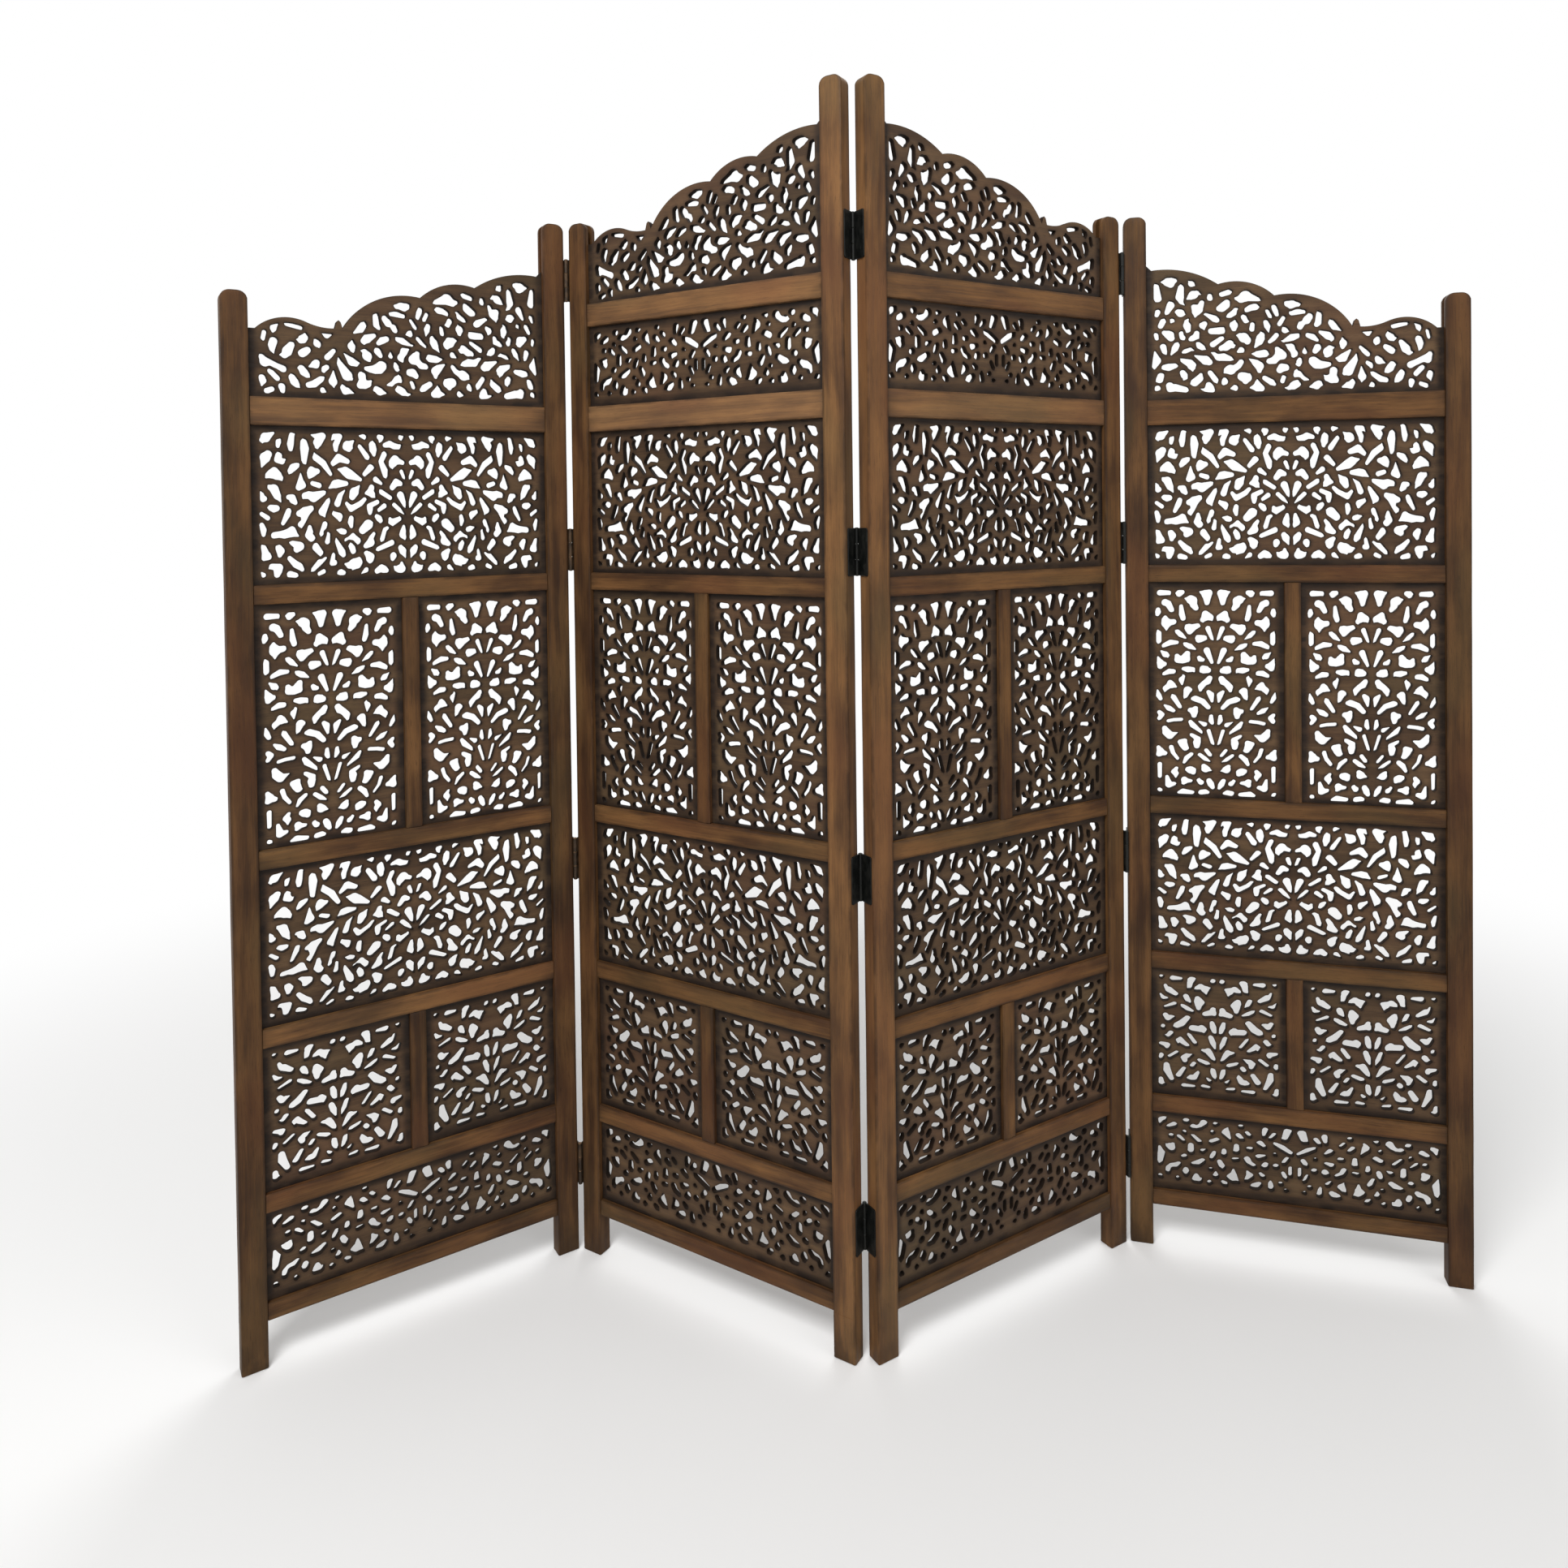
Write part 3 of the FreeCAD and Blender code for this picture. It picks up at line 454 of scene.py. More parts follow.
def add_piece(name, leaf, skin, nodes, materials, grain="z", mirrored=None):
    """Makes one piece from a skin drawn on a leaf's axes, in millimetres."""
    points, faces, wear, tones = skin
    mirrored = leaf.mirrored if mirrored is None else mirrored
    points = np.array(points, float)
    order = {"x": (2, 1, 0), "z": (0, 1, 2)}[grain]
    shift = randoms.uniform(-1, 1, 3)
    tone = randoms.uniform(-TONE_CHANCE, TONE_CHANCE)
    tone += next((PART_TONES_AND_LIGHT[part] for part in PART_TONES_AND_LIGHT if part in name), 0.0)
    placed = points.copy()
    if mirrored:
        placed[:, 0] = leaf.width - placed[:, 0]
        faces = [tuple(reversed(face)) for face in faces]
    mesh = bpy.data.meshes.new(name)
    mesh.from_pydata((placed * MM).tolist(), [], faces)
    for material in materials:
        mesh.materials.append(material)
    if tones is not None:
        mesh.polygons.foreach_set("material_index", np.array(tones, np.int32))
    set_attribute(mesh, "grain_at", points[:, order] * MM + shift)
    set_attribute(mesh, "wear", np.zeros(len(points)) if wear is None else wear)
    set_attribute(mesh, "tone", np.full(len(points), tone))
    work = bmesh.new()
    work.from_mesh(mesh)
    bmesh.ops.remove_doubles(work, verts=work.verts, dist=MERGE)
    bmesh.ops.dissolve_degenerate(work, edges=work.edges, dist=MERGE / 4)
    bmesh.ops.recalc_face_normals(work, faces=work.faces)
    work.to_mesh(mesh)
    work.free()
    mesh.polygons.foreach_set("use_smooth", np.ones(len(mesh.polygons), bool))
    mesh.set_sharp_from_angle(angle=SMOOTH_ANGLE)
    piece = bpy.data.objects.new(name, mesh)
    bpy.context.scene.collection.objects.link(piece)
    piece.matrix_world = leaf.matrix
    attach(piece, leaf.body)
    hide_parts(*nodes)


def joined(skins):
    """Several skins as one."""
    points, faces, wear, tones = [], [], [], []
    for skin in skins:
        start = len(points)
        points.extend(tuple(p) for p in skin[0])
        faces.extend(tuple(i + start for i in face) for face in skin[1])
        wear.extend(skin[2] if skin[2] is not None else [0.0] * len(skin[0]))
        tones.extend(skin[3] if skin[3] is not None else [0] * len(skin[1]))
    return points, faces, wear, tones


def eased(corners):
    """A section's outline with its corners rounded, and the wear at each of its points.
    A corner is (across, up, ease); one with no ease stays sharp."""
    outline, wear = [], []
    for index, (across, up, ease) in enumerate(corners):
        here = np.array((across, up), float)
        if not ease:
            outline.append(here)
            wear.append(0.0)
            continue
        before = np.array(corners[index - 1][:2], float) - here
        after = np.array(corners[(index + 1) % len(corners)][:2], float) - here
        before /= max(np.hypot(*before), TINY)
        after /= max(np.hypot(*after), TINY)
        outline += [here + before * (ease + EDGE_SPREAD), here + before * ease,
                    here + (before + after) * ease / 4,
                    here + after * ease, here + after * (ease + EDGE_SPREAD)]
        wear += EDGE_WEAR
    return np.array(outline), wear


def swept(rings, wear):
    """The skin over rings of equally many points, with both ends filled."""
    count = len(rings[0])
    points = np.vstack(rings)
    faces = []
    for low in range(0, len(points) - count, count):
        for index in range(count):
            after = (index + 1) % count
            faces.append((low + index, low + after, low + count + after, low + count + index))
    faces.append(tuple(range(count - 1, -1, -1)))
    faces.append(tuple(range(len(points) - count, len(points))))
    return points, faces, np.concatenate(wear), None


# Stiles, rails and mullions

def stile_skin(height):
    """A left-hand stile: its outer edge at 0 and the grooved edge at its width."""
    stations = [(0.0, FLOOR_INSET, False), (FLOOR_INSET, 0.0, False), (FOOT_HEIGHT, 0.0, False)]
    top = height - POST_TOP_RADIUS
    count = int((top - FOOT_HEIGHT) // STATION_STEP) + 1
    stations += [(z, 0.0, True) for z in np.linspace(FOOT_HEIGHT, top, count + 1)]
    for step in range(1, POST_TOP_STEPS + 1):
        angle = step / POST_TOP_STEPS * math.pi / 2
        stations.append((top + POST_TOP_RADIUS * math.sin(angle),
                         -POST_TOP_RADIUS * (1 - math.cos(angle)), True))
    rings, wears = [], []
    waves = randoms.uniform(0, WAVE, (len(stations), 4))
    for (z, inset, grooved), wave in zip(stations, waves):
        side = abs(inset)
        depth_inset = inset if inset >= 0 else POST_TOP_EASE * (side / POST_TOP_RADIUS) ** 2
        low = side + wave[0]
        high = STILE_WIDTH - side - wave[1]
        front = depth_inset + wave[2]
        back = LEAF_DEPTH - depth_inset - wave[3]
        floor = min(STILE_WIDTH - GROOVE_DEPTH, high) if grooved else high
        outline, wear = eased([(low, front, EDGE_EASE), (high, front, EDGE_EASE),
                               (high, GROOVE_FRONT, 0), (floor, GROOVE_FRONT, 0),
                               (floor, GROOVE_BACK, 0), (high, GROOVE_BACK, 0),
                               (high, back, EDGE_EASE), (low, back, EDGE_EASE)])
        rings.append(np.column_stack([outline, np.full(len(outline), z)]))
        worn_and_shaded = 1.0 if z < FOOT_WEAR_HEIGHT or z > height - TOP_WEAR_DEPTH else 0.0
        wears.append([max(worn_and_shaded, value) for value in wear])
    return swept(rings, wears)


def bar_skin(box, along, groove_low=True):
    """A rail, along axis 0, or a mullion, along axis 2, from the box of its solid. It runs
    from one tenon's tip to the other, with a groove in its high edge and its low one."""
    lowest, highest = box
    across = 2 - along
    start = round(lowest[along] + TENON_REACH)
    end = round(highest[along] - TENON_REACH)
    near = [-TENON_REACH, 0.0, 0.0, END_EASE, *JOINT_STAINS]
    count = int((end - start) // STATION_STEP) + 1
    runs = list(np.linspace(start, end, count + 1)[1:-1])
    stations = [start + d for d in near] + runs + [end - d for d in reversed(near)]
    kinds = ["tenon", "tenon", "eased", "full", *["full"] * len(JOINT_STAINS)]
    kinds += ["full"] * len(runs) + kinds[::-1]
    groove_low_at = lowest[across] + (GROOVE_DEPTH if groove_low else 0.0)
    groove_high_at = highest[across] - GROOVE_DEPTH
    rings, wears = [], []
    waves = randoms.uniform(0, WAVE, (len(stations), 4))
    for at, kind, wave in zip(stations, kinds, waves):
        inset = END_EASE if kind == "eased" else 0.0
        front = lowest[1] + inset + wave[0]
        back = highest[1] - inset - wave[1]
        low = lowest[across] + inset + wave[2]
        high = highest[across] - inset - wave[3]
        corners = [(front, low, EDGE_EASE)]
        if groove_low:
            corners += [(GROOVE_FRONT, low, 0), (GROOVE_FRONT, groove_low_at, 0),
                        (GROOVE_BACK, groove_low_at, 0), (GROOVE_BACK, low, 0)]
        corners += [(back, low, EDGE_EASE), (back, high, EDGE_EASE),
                    (GROOVE_BACK, high, 0), (GROOVE_BACK, groove_high_at, 0),
                    (GROOVE_FRONT, groove_high_at, 0), (GROOVE_FRONT, high, 0),
                    (front, high, EDGE_EASE)]
        outline, wear = eased(corners)
        if kind == "tenon":
            outline = np.clip(outline, (TENON_FRONT, groove_low_at), (TENON_BACK, groove_high_at))
            wear = [0.0] * len(wear)
        to_end = min(at - start, end - at)
        joint = float(np.interp(to_end, (0.0, *JOINT_STAINS), JOINT_WEAR))
        ring = np.empty((len(outline), 3))
        ring[:, along] = at
        ring[:, 1] = outline[:, 0]
        ring[:, across] = outline[:, 1]
        rings.append(ring)
        wears.append([max(joint, value) for value in wear])
    return swept(rings, wears)


# Fretwork

def arc_points(start, middle, end):
    """Points along the arc through three points, without its start."""
    (ax, az), (bx, bz), (cx, cz) = start, middle, end
    scale = 2 * (ax * (bz - cz) + bx * (cz - az) + cx * (az - bz))
    a, b, c = ax * ax + az * az, bx * bx + bz * bz, cx * cx + cz * cz
    centre = np.array(((a * (bz - cz) + b * (cz - az) + c * (az - bz)) / scale,
                       (a * (cx - bx) + b * (ax - cx) + c * (bx - ax)) / scale))
    radius = np.hypot(*(np.array(start) - centre))
    angles = [math.atan2(*(np.array(p) - centre)[::-1]) for p in (start, middle, end)]
    turn = (angles[2] - angles[0]) % math.tau
    if (angles[1] - angles[0]) % math.tau > turn:
        turn -= math.tau
    count = max(2, int(abs(turn) * radius / ARC_STEP))
    return [tuple(centre + radius * np.array((math.cos(angles[0] + turn * k / count),
                                              math.sin(angles[0] + turn * k / count))))
            for k in range(1, count + 1)]


def crest_line(width):
    """The crest's top edge, from the low side to the high side."""
    line = [(0.0, CREST_HEIGHT * CREST_START)]
    for stroke in CREST_STROKES:
        marks = [(width * across, CREST_HEIGHT * up) for across, up in stroke]
        line += marks if len(marks) == 1 else arc_points(line[-1], *marks)
    return line


def line_distance(x, z, line, reaches=None):
    """Distance of each grid point from a line of points, less the line's reach beside it."""
    nearest = np.full(x.shape, np.inf)
    reaches = [0.0] * len(line) if reaches is None else reaches
    for (ax, az), (bx, bz), start, end in zip(line, line[1:], reaches, reaches[1:]):
        dx, dz = bx - ax, bz - az
        share = np.clip(((x - ax) * dx + (z - az) * dz) / max(dx * dx + dz * dz, TINY), 0, 1)
        away = np.hypot(x - ax - share * dx, z - az - share * dz) - start - share * (end - start)
        nearest = np.minimum(nearest, away)
    return nearest


def blurred(field, cells):
    """A field smoothed by a bell curve of this many cells."""
    reach = int(3 * cells) + 1
    steps = np.arange(-reach, reach + 1)
    weights = np.exp(-0.5 * (steps / cells) ** 2)
    weights /= weights.sum()
    for axis in (0, 1):
        pad = [(reach, reach) if axis == side else (0, 0) for side in (0, 1)]
        wide = np.pad(field, pad, mode="edge")
        size = field.shape[axis]
        field = sum(weight * wide.take(range(k, k + size), axis=axis)
                    for k, weight in enumerate(weights))
    return field


def near_span(grid, marks):
    """The part of a grid's axis within reach of some marks."""
    low, high = np.searchsorted(grid, (marks.min() - SEARCH_REACH, marks.max() + SEARCH_REACH))
    return slice(low, high)


def opening_field(kind):
    """A panel's field on a grid: above zero inside an opening."""
    drawn, drawn_size, (width, height), mirrored, margins, (web, growth) = DESIGNS[kind]
    side, bottom, top = margins
    scale = np.array((width / drawn_size[0], height / drawn_size[1], HALF_WIDTHS))
    lines = [np.reshape(line, (-1, 3)) * scale for line in drawn]
    if mirrored:
        lines += [line * (-1, 1, 1) + (width, 0, 0) for line in lines]
    columns, rows = round(width / GRID_STEP), round(height / GRID_STEP)
    xs = np.linspace(0, width, columns + 1)
    zs = np.linspace(0, height, rows + 1)
    near = np.full((rows + 1, columns + 1), FAR_AWAY)
    second = near.copy()
    for marks in lines:
        window = near_span(zs, marks[:, 1]), near_span(xs, marks[:, 0])
        x, z = np.meshgrid(xs[window[1]], zs[window[0]])
        away = line_distance(x, z, marks[:, :2].tolist(), (marks[:, 2] + growth).tolist())
        second[window] = np.minimum(second[window], np.maximum(near[window], away))
        near[window] = np.minimum(near[window], away)
    x, z = np.meshgrid(xs, zs)
    field = np.minimum((second - near - web) / 2, -near)
    inside = np.minimum(np.minimum(x - side, width - side - x),
                        np.minimum(z - bottom, height - top - z))
    if kind == "crest":
        crest = crest_line(width)
        below = np.interp(x, *np.array(crest).T) > z
        bordered = np.minimum(inside, line_distance(x, z, crest) - CREST_BORDER)
        inside = np.where(below, bordered, -FIELD_CLIP)
    field = np.clip(np.minimum(field, inside), -FIELD_CLIP, FIELD_CLIP)
    field = blurred(field, CORNER_BLUR / (width / columns))
    field[[0, -1], :] = OUTSIDE
    field[:, [0, -1]] = OUTSIDE
    return xs, zs, field


# Which sides of a grid cell a contour joins, for each pattern of inside corners.
# Sides: 0 bottom, 1 right, 2 top, 3 left. The inside lies to the left.
STROKES = {
    1: ((0, 3),), 2: ((1, 0),), 3: ((1, 3),), 4: ((2, 1),), 5: ((0, 3), (2, 1)),
    6: ((2, 0),), 7: ((2, 3),), 8: ((3, 2),), 9: ((0, 2),), 10: ((1, 0), (3, 2)),
    11: ((1, 2),), 12: ((3, 1),), 13: ((0, 1),), 14: ((3, 0),),
}


def contours(xs, zs, field):
    """Closed loops where the field is zero."""
    inside = field > 0
    code = inside[:-1, :-1] + 2 * inside[:-1, 1:] + 4 * inside[1:, 1:] + 8 * inside[1:, :-1]
    follow = {}
    for row, column in zip(*np.nonzero(np.isin(code, list(STROKES)))):
        sides = (("h", row, column), ("v", row, column + 1),
                 ("h", row + 1, column), ("v", row, column))
        for first, last in STROKES[int(code[row, column])]:
            follow[sides[first]] = sides[last]

    def place(side):
        kind, row, column = side
        r, c = (row, column + 1) if kind == "h" else (row + 1, column)
        a, b = field[row, column], field[r, c]
        share = a / (a - b)
        return (xs[column] + share * (xs[c] - xs[column]), zs[row] + share * (zs[r] - zs[row]))

    loops = []
    while follow:
        side = next(iter(follow))
        loop = []
        while side in follow:
            loop.append(place(side))
            side = follow.pop(side)
        loops.append(np.array(loop))
    return loops


def thinned(line, tolerance):
    """A line with the points left out that lie within tolerance of it."""
    keep = [0, len(line) - 1]
    spans = [(0, len(line) - 1)]
    while spans:
        low, high = spans.pop()
        if high - low < 2:
            continue
        between = line[low + 1:high]
        away = line_distance(between[:, 0], between[:, 1], [line[low], line[high]])
        worst = int(np.argmax(away))
        if away[worst] > tolerance:
            middle = low + 1 + worst
            keep.append(middle)
            spans += [(low, middle), (middle, high)]
    return line[sorted(keep)]


def thinned_loop(loop):
    """A closed loop thinned from two far points on it."""
    far = int(np.argmax(np.hypot(*(loop - loop[0]).T)))
    first = thinned(loop[:far + 1], CONTOUR_TOLERANCE)
    second = thinned(np.vstack([loop[far:], loop[:1]]), CONTOUR_TOLERANCE)
    return np.vstack([first[:-1], second[:-1]])


def loop_area(loop):
    """The signed area of a closed loop."""
    x, z = loop.T
    return 0.5 * np.sum(x * np.roll(z, -1) - z * np.roll(x, -1))


def moved_in(loop, distance):
    """A loop moved to its left by a distance, each corner along its own bisector."""
    before = loop - np.roll(loop, 1, axis=0)
    after = np.roll(loop, -1, axis=0) - loop
    before /= np.hypot(*before.T)[:, None]
    after /= np.hypot(*after.T)[:, None]
    normal = np.column_stack([-(before + after)[:, 1], (before + after)[:, 0]])
    length = np.hypot(*normal.T)
    normal /= np.maximum(length, TINY)[:, None]
    stretch = 1 / np.maximum(length / 2, SHARPEST_CORNER)
    return loop + normal * (distance * stretch)[:, None]


def pierced_skin(loops, front, back, chamfer, inner=()):
    """A plate with its wood to the left of each loop. The first loop is its outline, and
    inner points lie on its faces. Faces are the first material, chamfers and walls the
    second."""
    counts = [len(loop) for loop in loops]
    starts = np.cumsum([0] + counts)
    rims = np.vstack([moved_in(loop, chamfer) for loop in loops])
    rings = [list(range(start, start + count)) for start, count in zip(starts, counts)]
    turned = rings[:1] + [ring[::-1] for ring in rings[1:]]
    marks = rims.tolist() + [list(p) for p in inner]
    verts, _, tris, sources, _, owners = delaunay_2d_cdt(
        [Vector(p) for p in marks], [], turned, 1, TRIANGLE_TOLERANCE, True)
    index = {k: source[0] for k, source in enumerate(sources) if source}
    extra = [k for k in range(len(verts)) if k not in index]
    face_points = marks + [list(verts[k]) for k in extra]
    for order, k in enumerate(extra):
        index[k] = len(marks) + order
    flat = [tuple(index[k] for k in tri)
            for tri, owner in zip(tris, owners) if list(owner) == [0]]
    size = len(face_points)
    walls = np.vstack(loops).tolist()
    shallow = 2 * size
    deep = shallow + len(walls)
    points = [(x, front, z) for x, z in face_points] + [(x, back, z) for x, z in face_points]
    points += [(x, front + chamfer, z) for x, z in walls]
    points += [(x, back - chamfer, z) for x, z in walls]
    faces = flat + [tuple(k + size for k in reversed(tri)) for tri in flat]
    tones = [0] * len(faces)
    for ring in rings:
        for k, after in zip(ring, ring[1:] + ring[:1]):
            faces.append((k, shallow + k, shallow + after, after))
            faces.append((shallow + k, deep + k, deep + after, shallow + after))
            faces.append((deep + k, size + k, size + after, deep + after))
    tones += [1] * (len(faces) - len(tones))
    return points, faces, None, tones


def plate_skin(kind):
    """A fret plate, drawn from its opening's lower left corner."""
    width, height = DESIGNS[kind][2]
    outline = [(-FRET_REACH, -GROOVE_DEPTH), (width + FRET_REACH, -GROOVE_DEPTH)]
    if kind == "crest":
        line = crest_line(width)
        outline += [(width + FRET_REACH, CREST_HEIGHT), *line[::-1], (-FRET_REACH, line[0][1])]
    else:
        outline += [(width + FRET_REACH, height + FRET_REACH), (-FRET_REACH, height + FRET_REACH)]
    loops = [np.array(outline)]
    xs, zs, field = opening_field(kind)
    for loop in contours(xs, zs, field):
        if loop_area(loop) > SMALLEST_OPENING:
            loops.append(thinned_loop(loop)[::-1])
    rows, columns = np.array(field.shape) - 1

    def depth_at(x, z):
        """How deep in the wood points are, on the grid of the field."""
        row = np.clip(np.round(z / height * rows), 0, rows).astype(int)
        column = np.clip(np.round(x / width * columns), 0, columns).astype(int)
        return -field[row, column]

    x, z = np.meshgrid(np.arange(SHADE_POINT_STEP, width, SHADE_POINT_STEP),
                       np.arange(SHADE_POINT_STEP, height, SHADE_POINT_STEP))
    x[1::2] += SHADE_POINT_STEP / 2
    x, z = x.ravel(), z.ravel()
    top = np.interp(x, *np.array(line).T) if kind == "crest" else np.full(len(x), height)
    to_edge = np.minimum(top - z, width - x)
    kept = (depth_at(x, z) > SHADE_POINT_NEAREST) & (to_edge > SHADE_POINT_NEAREST)
    inner = np.column_stack([x, z])[kept].tolist()
    points, faces, _, tones = pierced_skin(loops, FRET_FRONT, FRET_BACK, CHAMFER, inner)
    x, _, z = np.array(points).T
    edge = np.minimum(np.minimum(x, width - x), z)
    if kind != "crest":
        edge = np.minimum(edge, height - z)
    # Painted shade: darker along the openings' rims, as shade from their walls, and near the
    # plate's edges, as shadow where the plate sits recessed under the rails and beside the stiles.
    rim_shade = RIM_SHADE * (1 - np.clip(depth_at(x, z) / RIM_SHADE_DEPTH, 0, 1))
    border_shadow = 1 - np.clip((edge - SHADOWED_BORDER_WIDTH) / BORDER_SHADOW_FADE, 0, 1)
    return points, faces, np.maximum(rim_shade, border_shadow), tones


# Materials

class Nodes:
    """A node tree and short ways to add nodes to it."""

    def __init__(self, owner):
        owner.use_nodes = True
        self.tree = owner.node_tree

    def add(self, kind, values, **settings):
        """A node with its inputs set: each value is a number, a colour or an output."""
        made = self.tree.nodes.new("ShaderNode" + kind)
        for key, value in settings.items():
            setattr(made, key, value)
        for key, value in values.items():
            if isinstance(value, bpy.types.NodeSocket):
                self.tree.links.new(value, made.inputs[key])
            else:
                made.inputs[key].default_value = value
        return made

    def attribute(self, name, output):
        return self.add("Attribute", {}, attribute_name=name).outputs[output]

    def noise(self, at, scale, detail=2.0, roughness=0.5):
        """Noise stretched by a scale along each axis, in waves per metre."""
        stretched = self.vector("MULTIPLY", at, scale)
        return self.add("TexNoise", {"Vector": stretched, "Scale": 1.0, "Detail": detail,
                                     "Roughness": roughness}).outputs[0]

    def spread(self, value, low, high, to_low=0.0, to_high=1.0):
        """A value taken from one range to another, smoothly and held at its ends."""
        return self.add("MapRange", {0: value, 1: low, 2: high, 3: to_low, 4: to_high},
                        interpolation_type="SMOOTHSTEP").outputs[0]

    def maths(self, operation, first, second=0.0):
        return self.add("Math", {0: first, 1: second}, operation=operation).outputs[0]

    def vector(self, operation, first, second):
        return self.add("VectorMath", {0: first, 1: second}, operation=operation).outputs[0]

    def mixed(self, share, first, second):
        """Two colours, in sockets 6 and 7, mixed by a share of the second."""
        return self.add("Mix", {0: share, 6: first, 7: second}, data_type="RGBA").outputs[2]

    def seen_only(self):
        """One for rays that show the background, and zero for those that light things."""
        path = self.add("LightPath", {})
        seen = self.maths("MAXIMUM", path.outputs["Is Camera Ray"], path.outputs["Is Glossy Ray"])
        return self.maths("MAXIMUM", seen, path.outputs["Is Transmission Ray"])

    def show(self, share, first, second, output):
        """Joins two shaders, mixed by a share of the second, to the tree's output."""
        mix = self.add("MixShader", {0: share, 1: first.outputs[0], 2: second.outputs[0]})
        self.tree.links.new(mix.outputs[0], self.tree.nodes[output].inputs["Surface"])


class Finish(Nodes):
    """A new material and its shader."""

    def __init__(self, name):
        self.material = bpy.data.materials.new(name)
        super().__init__(self.material)
        self.surface = self.tree.nodes["Principled BSDF"]

    def done(self, colour, roughness, bumps, strength, distance):
        """Joins colour, roughness and bump to the surface."""
        bump = self.add("Bump", {"Strength": strength, "Distance": distance, "Height": bumps})
        joins = {"Base Color": colour, "Roughness": roughness, "Normal": bump.outputs[0]}
        for key, value in joins.items():
            self.tree.links.new(value, self.surface.inputs[key])
        return self.material


def linear(red, green, blue):
    """A screen's colour, from 0 to 255, as linear values by the sRGB curve."""
    parts = [value / 255 for value in (red, green, blue)]
    parts = [p / 12.92 if p <= 0.04045 else ((p + 0.055) / 1.055) ** 2.4 for p in parts]
    return (*parts, 1.0)


# Wood: the grain runs along the third axis of grain_at. Each noise is in waves per metre
# along the three axes, and three of them share the mix of dark and light. The ranges
# give the noise's or the tone's low and high end, and where given what they turn into.
FINE_GRAIN, FINE_SHARE = (520, 520, 14), 0.22
GRAIN_BANDS, BANDS_SHARE = (70, 70, 3.2), 0.34
GRAIN_PATCHES, PATCHES_SHARE = (24, 24, 9), 0.44
GRAIN_HUES = (10, 10, 4)
GRAIN_PORES = (1500, 1500, 60)
GRAIN_WANDER, WANDER_REACH = (9, 9, 5), (0.012, 0.012, 0.0)
RUBBED_PLACES = (60, 60, 25)
LIGHT_RANGE = (0.35, 0.67)
RED_RANGE = (0.50, 0.70, 0.0, 0.4)
OLIVE_RANGE = (0.46, 0.30, 0.0, 0.3)
PORE_RANGE = (0.60, 0.74, 0.0, 0.4)
PALE_RANGE = (1.0, 5.0, 0.0, 0.22)
RUBBED_RANGE = (0.36, 0.60)
MIDDLE_RANGE = (0.3, 0.7)
PALE_AND_LIT_WOOD = (110, 88, 68)
PORE_SHADE = 0.45
GRAIN_BUMP, PORE_BUMP = 0.7, -0.8
WOOD_BUMP = (0.4, 0.0003)


def wood(name, dark, light, red, olive, stain_and_shade, rubbed, specular=0.2, roughness=(0.5, 0.7)):
    """Stained hardwood. The stain colour darkens worn places and, on the frets, paints shade along
    the openings and shadow at the plates' borders, by a share that is even or, where not, rubbed."""
    s = Finish(name)
    at = s.attribute("grain_at", 1)
    wander = s.vector("MULTIPLY", s.noise(at, GRAIN_WANDER, detail=1.0), WANDER_REACH)
    at = s.vector("ADD", at, wander)
    fine = s.noise(at, FINE_GRAIN, detail=3.0, roughness=0.6)
    bands = s.noise(at, GRAIN_BANDS)
    patches = s.noise(at, GRAIN_PATCHES, detail=3.0)
    hues = s.noise(at, GRAIN_HUES, detail=1.0)
    pores = s.noise(at, GRAIN_PORES, detail=1.0)
    light_share = s.maths("ADD", s.maths("MULTIPLY", fine, FINE_SHARE),
                          s.maths("MULTIPLY", bands, BANDS_SHARE))
    light_share = s.maths("ADD", light_share, s.maths("MULTIPLY", patches, PATCHES_SHARE))
    light_share = s.spread(light_share, *LIGHT_RANGE)
    colour = s.mixed(light_share, linear(*dark), linear(*light))
    colour = s.mixed(s.spread(hues, *RED_RANGE), colour, linear(*red))
    colour = s.mixed(s.spread(hues, *OLIVE_RANGE), colour, linear(*olive))
    pore_share = s.spread(pores, *PORE_RANGE)
    colour = s.mixed(pore_share, colour, linear(*[c * PORE_SHADE for c in dark]))
    # The tone is partly each piece's own tone, at random and by part, and partly painted light:
    # paler or darker as light falls on the part in its leaf.
    tone = s.attribute("tone", 2)
    colour = s.mixed(s.spread(tone, *PALE_RANGE), colour, linear(*PALE_AND_LIT_WOOD))
    tone = s.maths("ADD", s.maths("MULTIPLY", tone, TONE_STEP), 1.0)
    toned = s.add("VectorMath", {0: colour, "Scale": tone}, operation="SCALE").outputs[0]
    rubbing = s.spread(s.noise(at, RUBBED_PLACES, detail=3.0), *RUBBED_RANGE, *rubbed)
    # The wear attribute darkens towards the stain colour: real wear and joint stains on the frame,
    # painted shade on the frets.
    worn_and_shaded = s.maths("MULTIPLY", s.attribute("wear", 2), rubbing)
    colour = s.mixed(worn_and_shaded, toned, linear(*stain_and_shade))
    rough = s.spread(fine, *MIDDLE_RANGE, *roughness)
    bumps = s.maths("ADD", s.maths("MULTIPLY", fine, GRAIN_BUMP),
                    s.maths("MULTIPLY", pore_share, PORE_BUMP))
    s.surface.inputs["Specular IOR Level"].default_value = specular
    return s.done(colour, rough, bumps, *WOOD_BUMP)


# Hinge steel, in the same terms
STEEL_GRIT = (900, 900, 900)
STEEL_PATCHES = (90, 90, 60)
PATCH_RANGE = (0.42, 0.66)
RUBBED_STEEL_RANGE = (0.4, 0.6, 0.0, 0.5)
RUBBED_STEEL = 2.2
STEEL_METALLIC = 0.55
STEEL_ROUGHNESS = (0.38, 0.6)
STEEL_BUMP = (0.3, 0.0002)


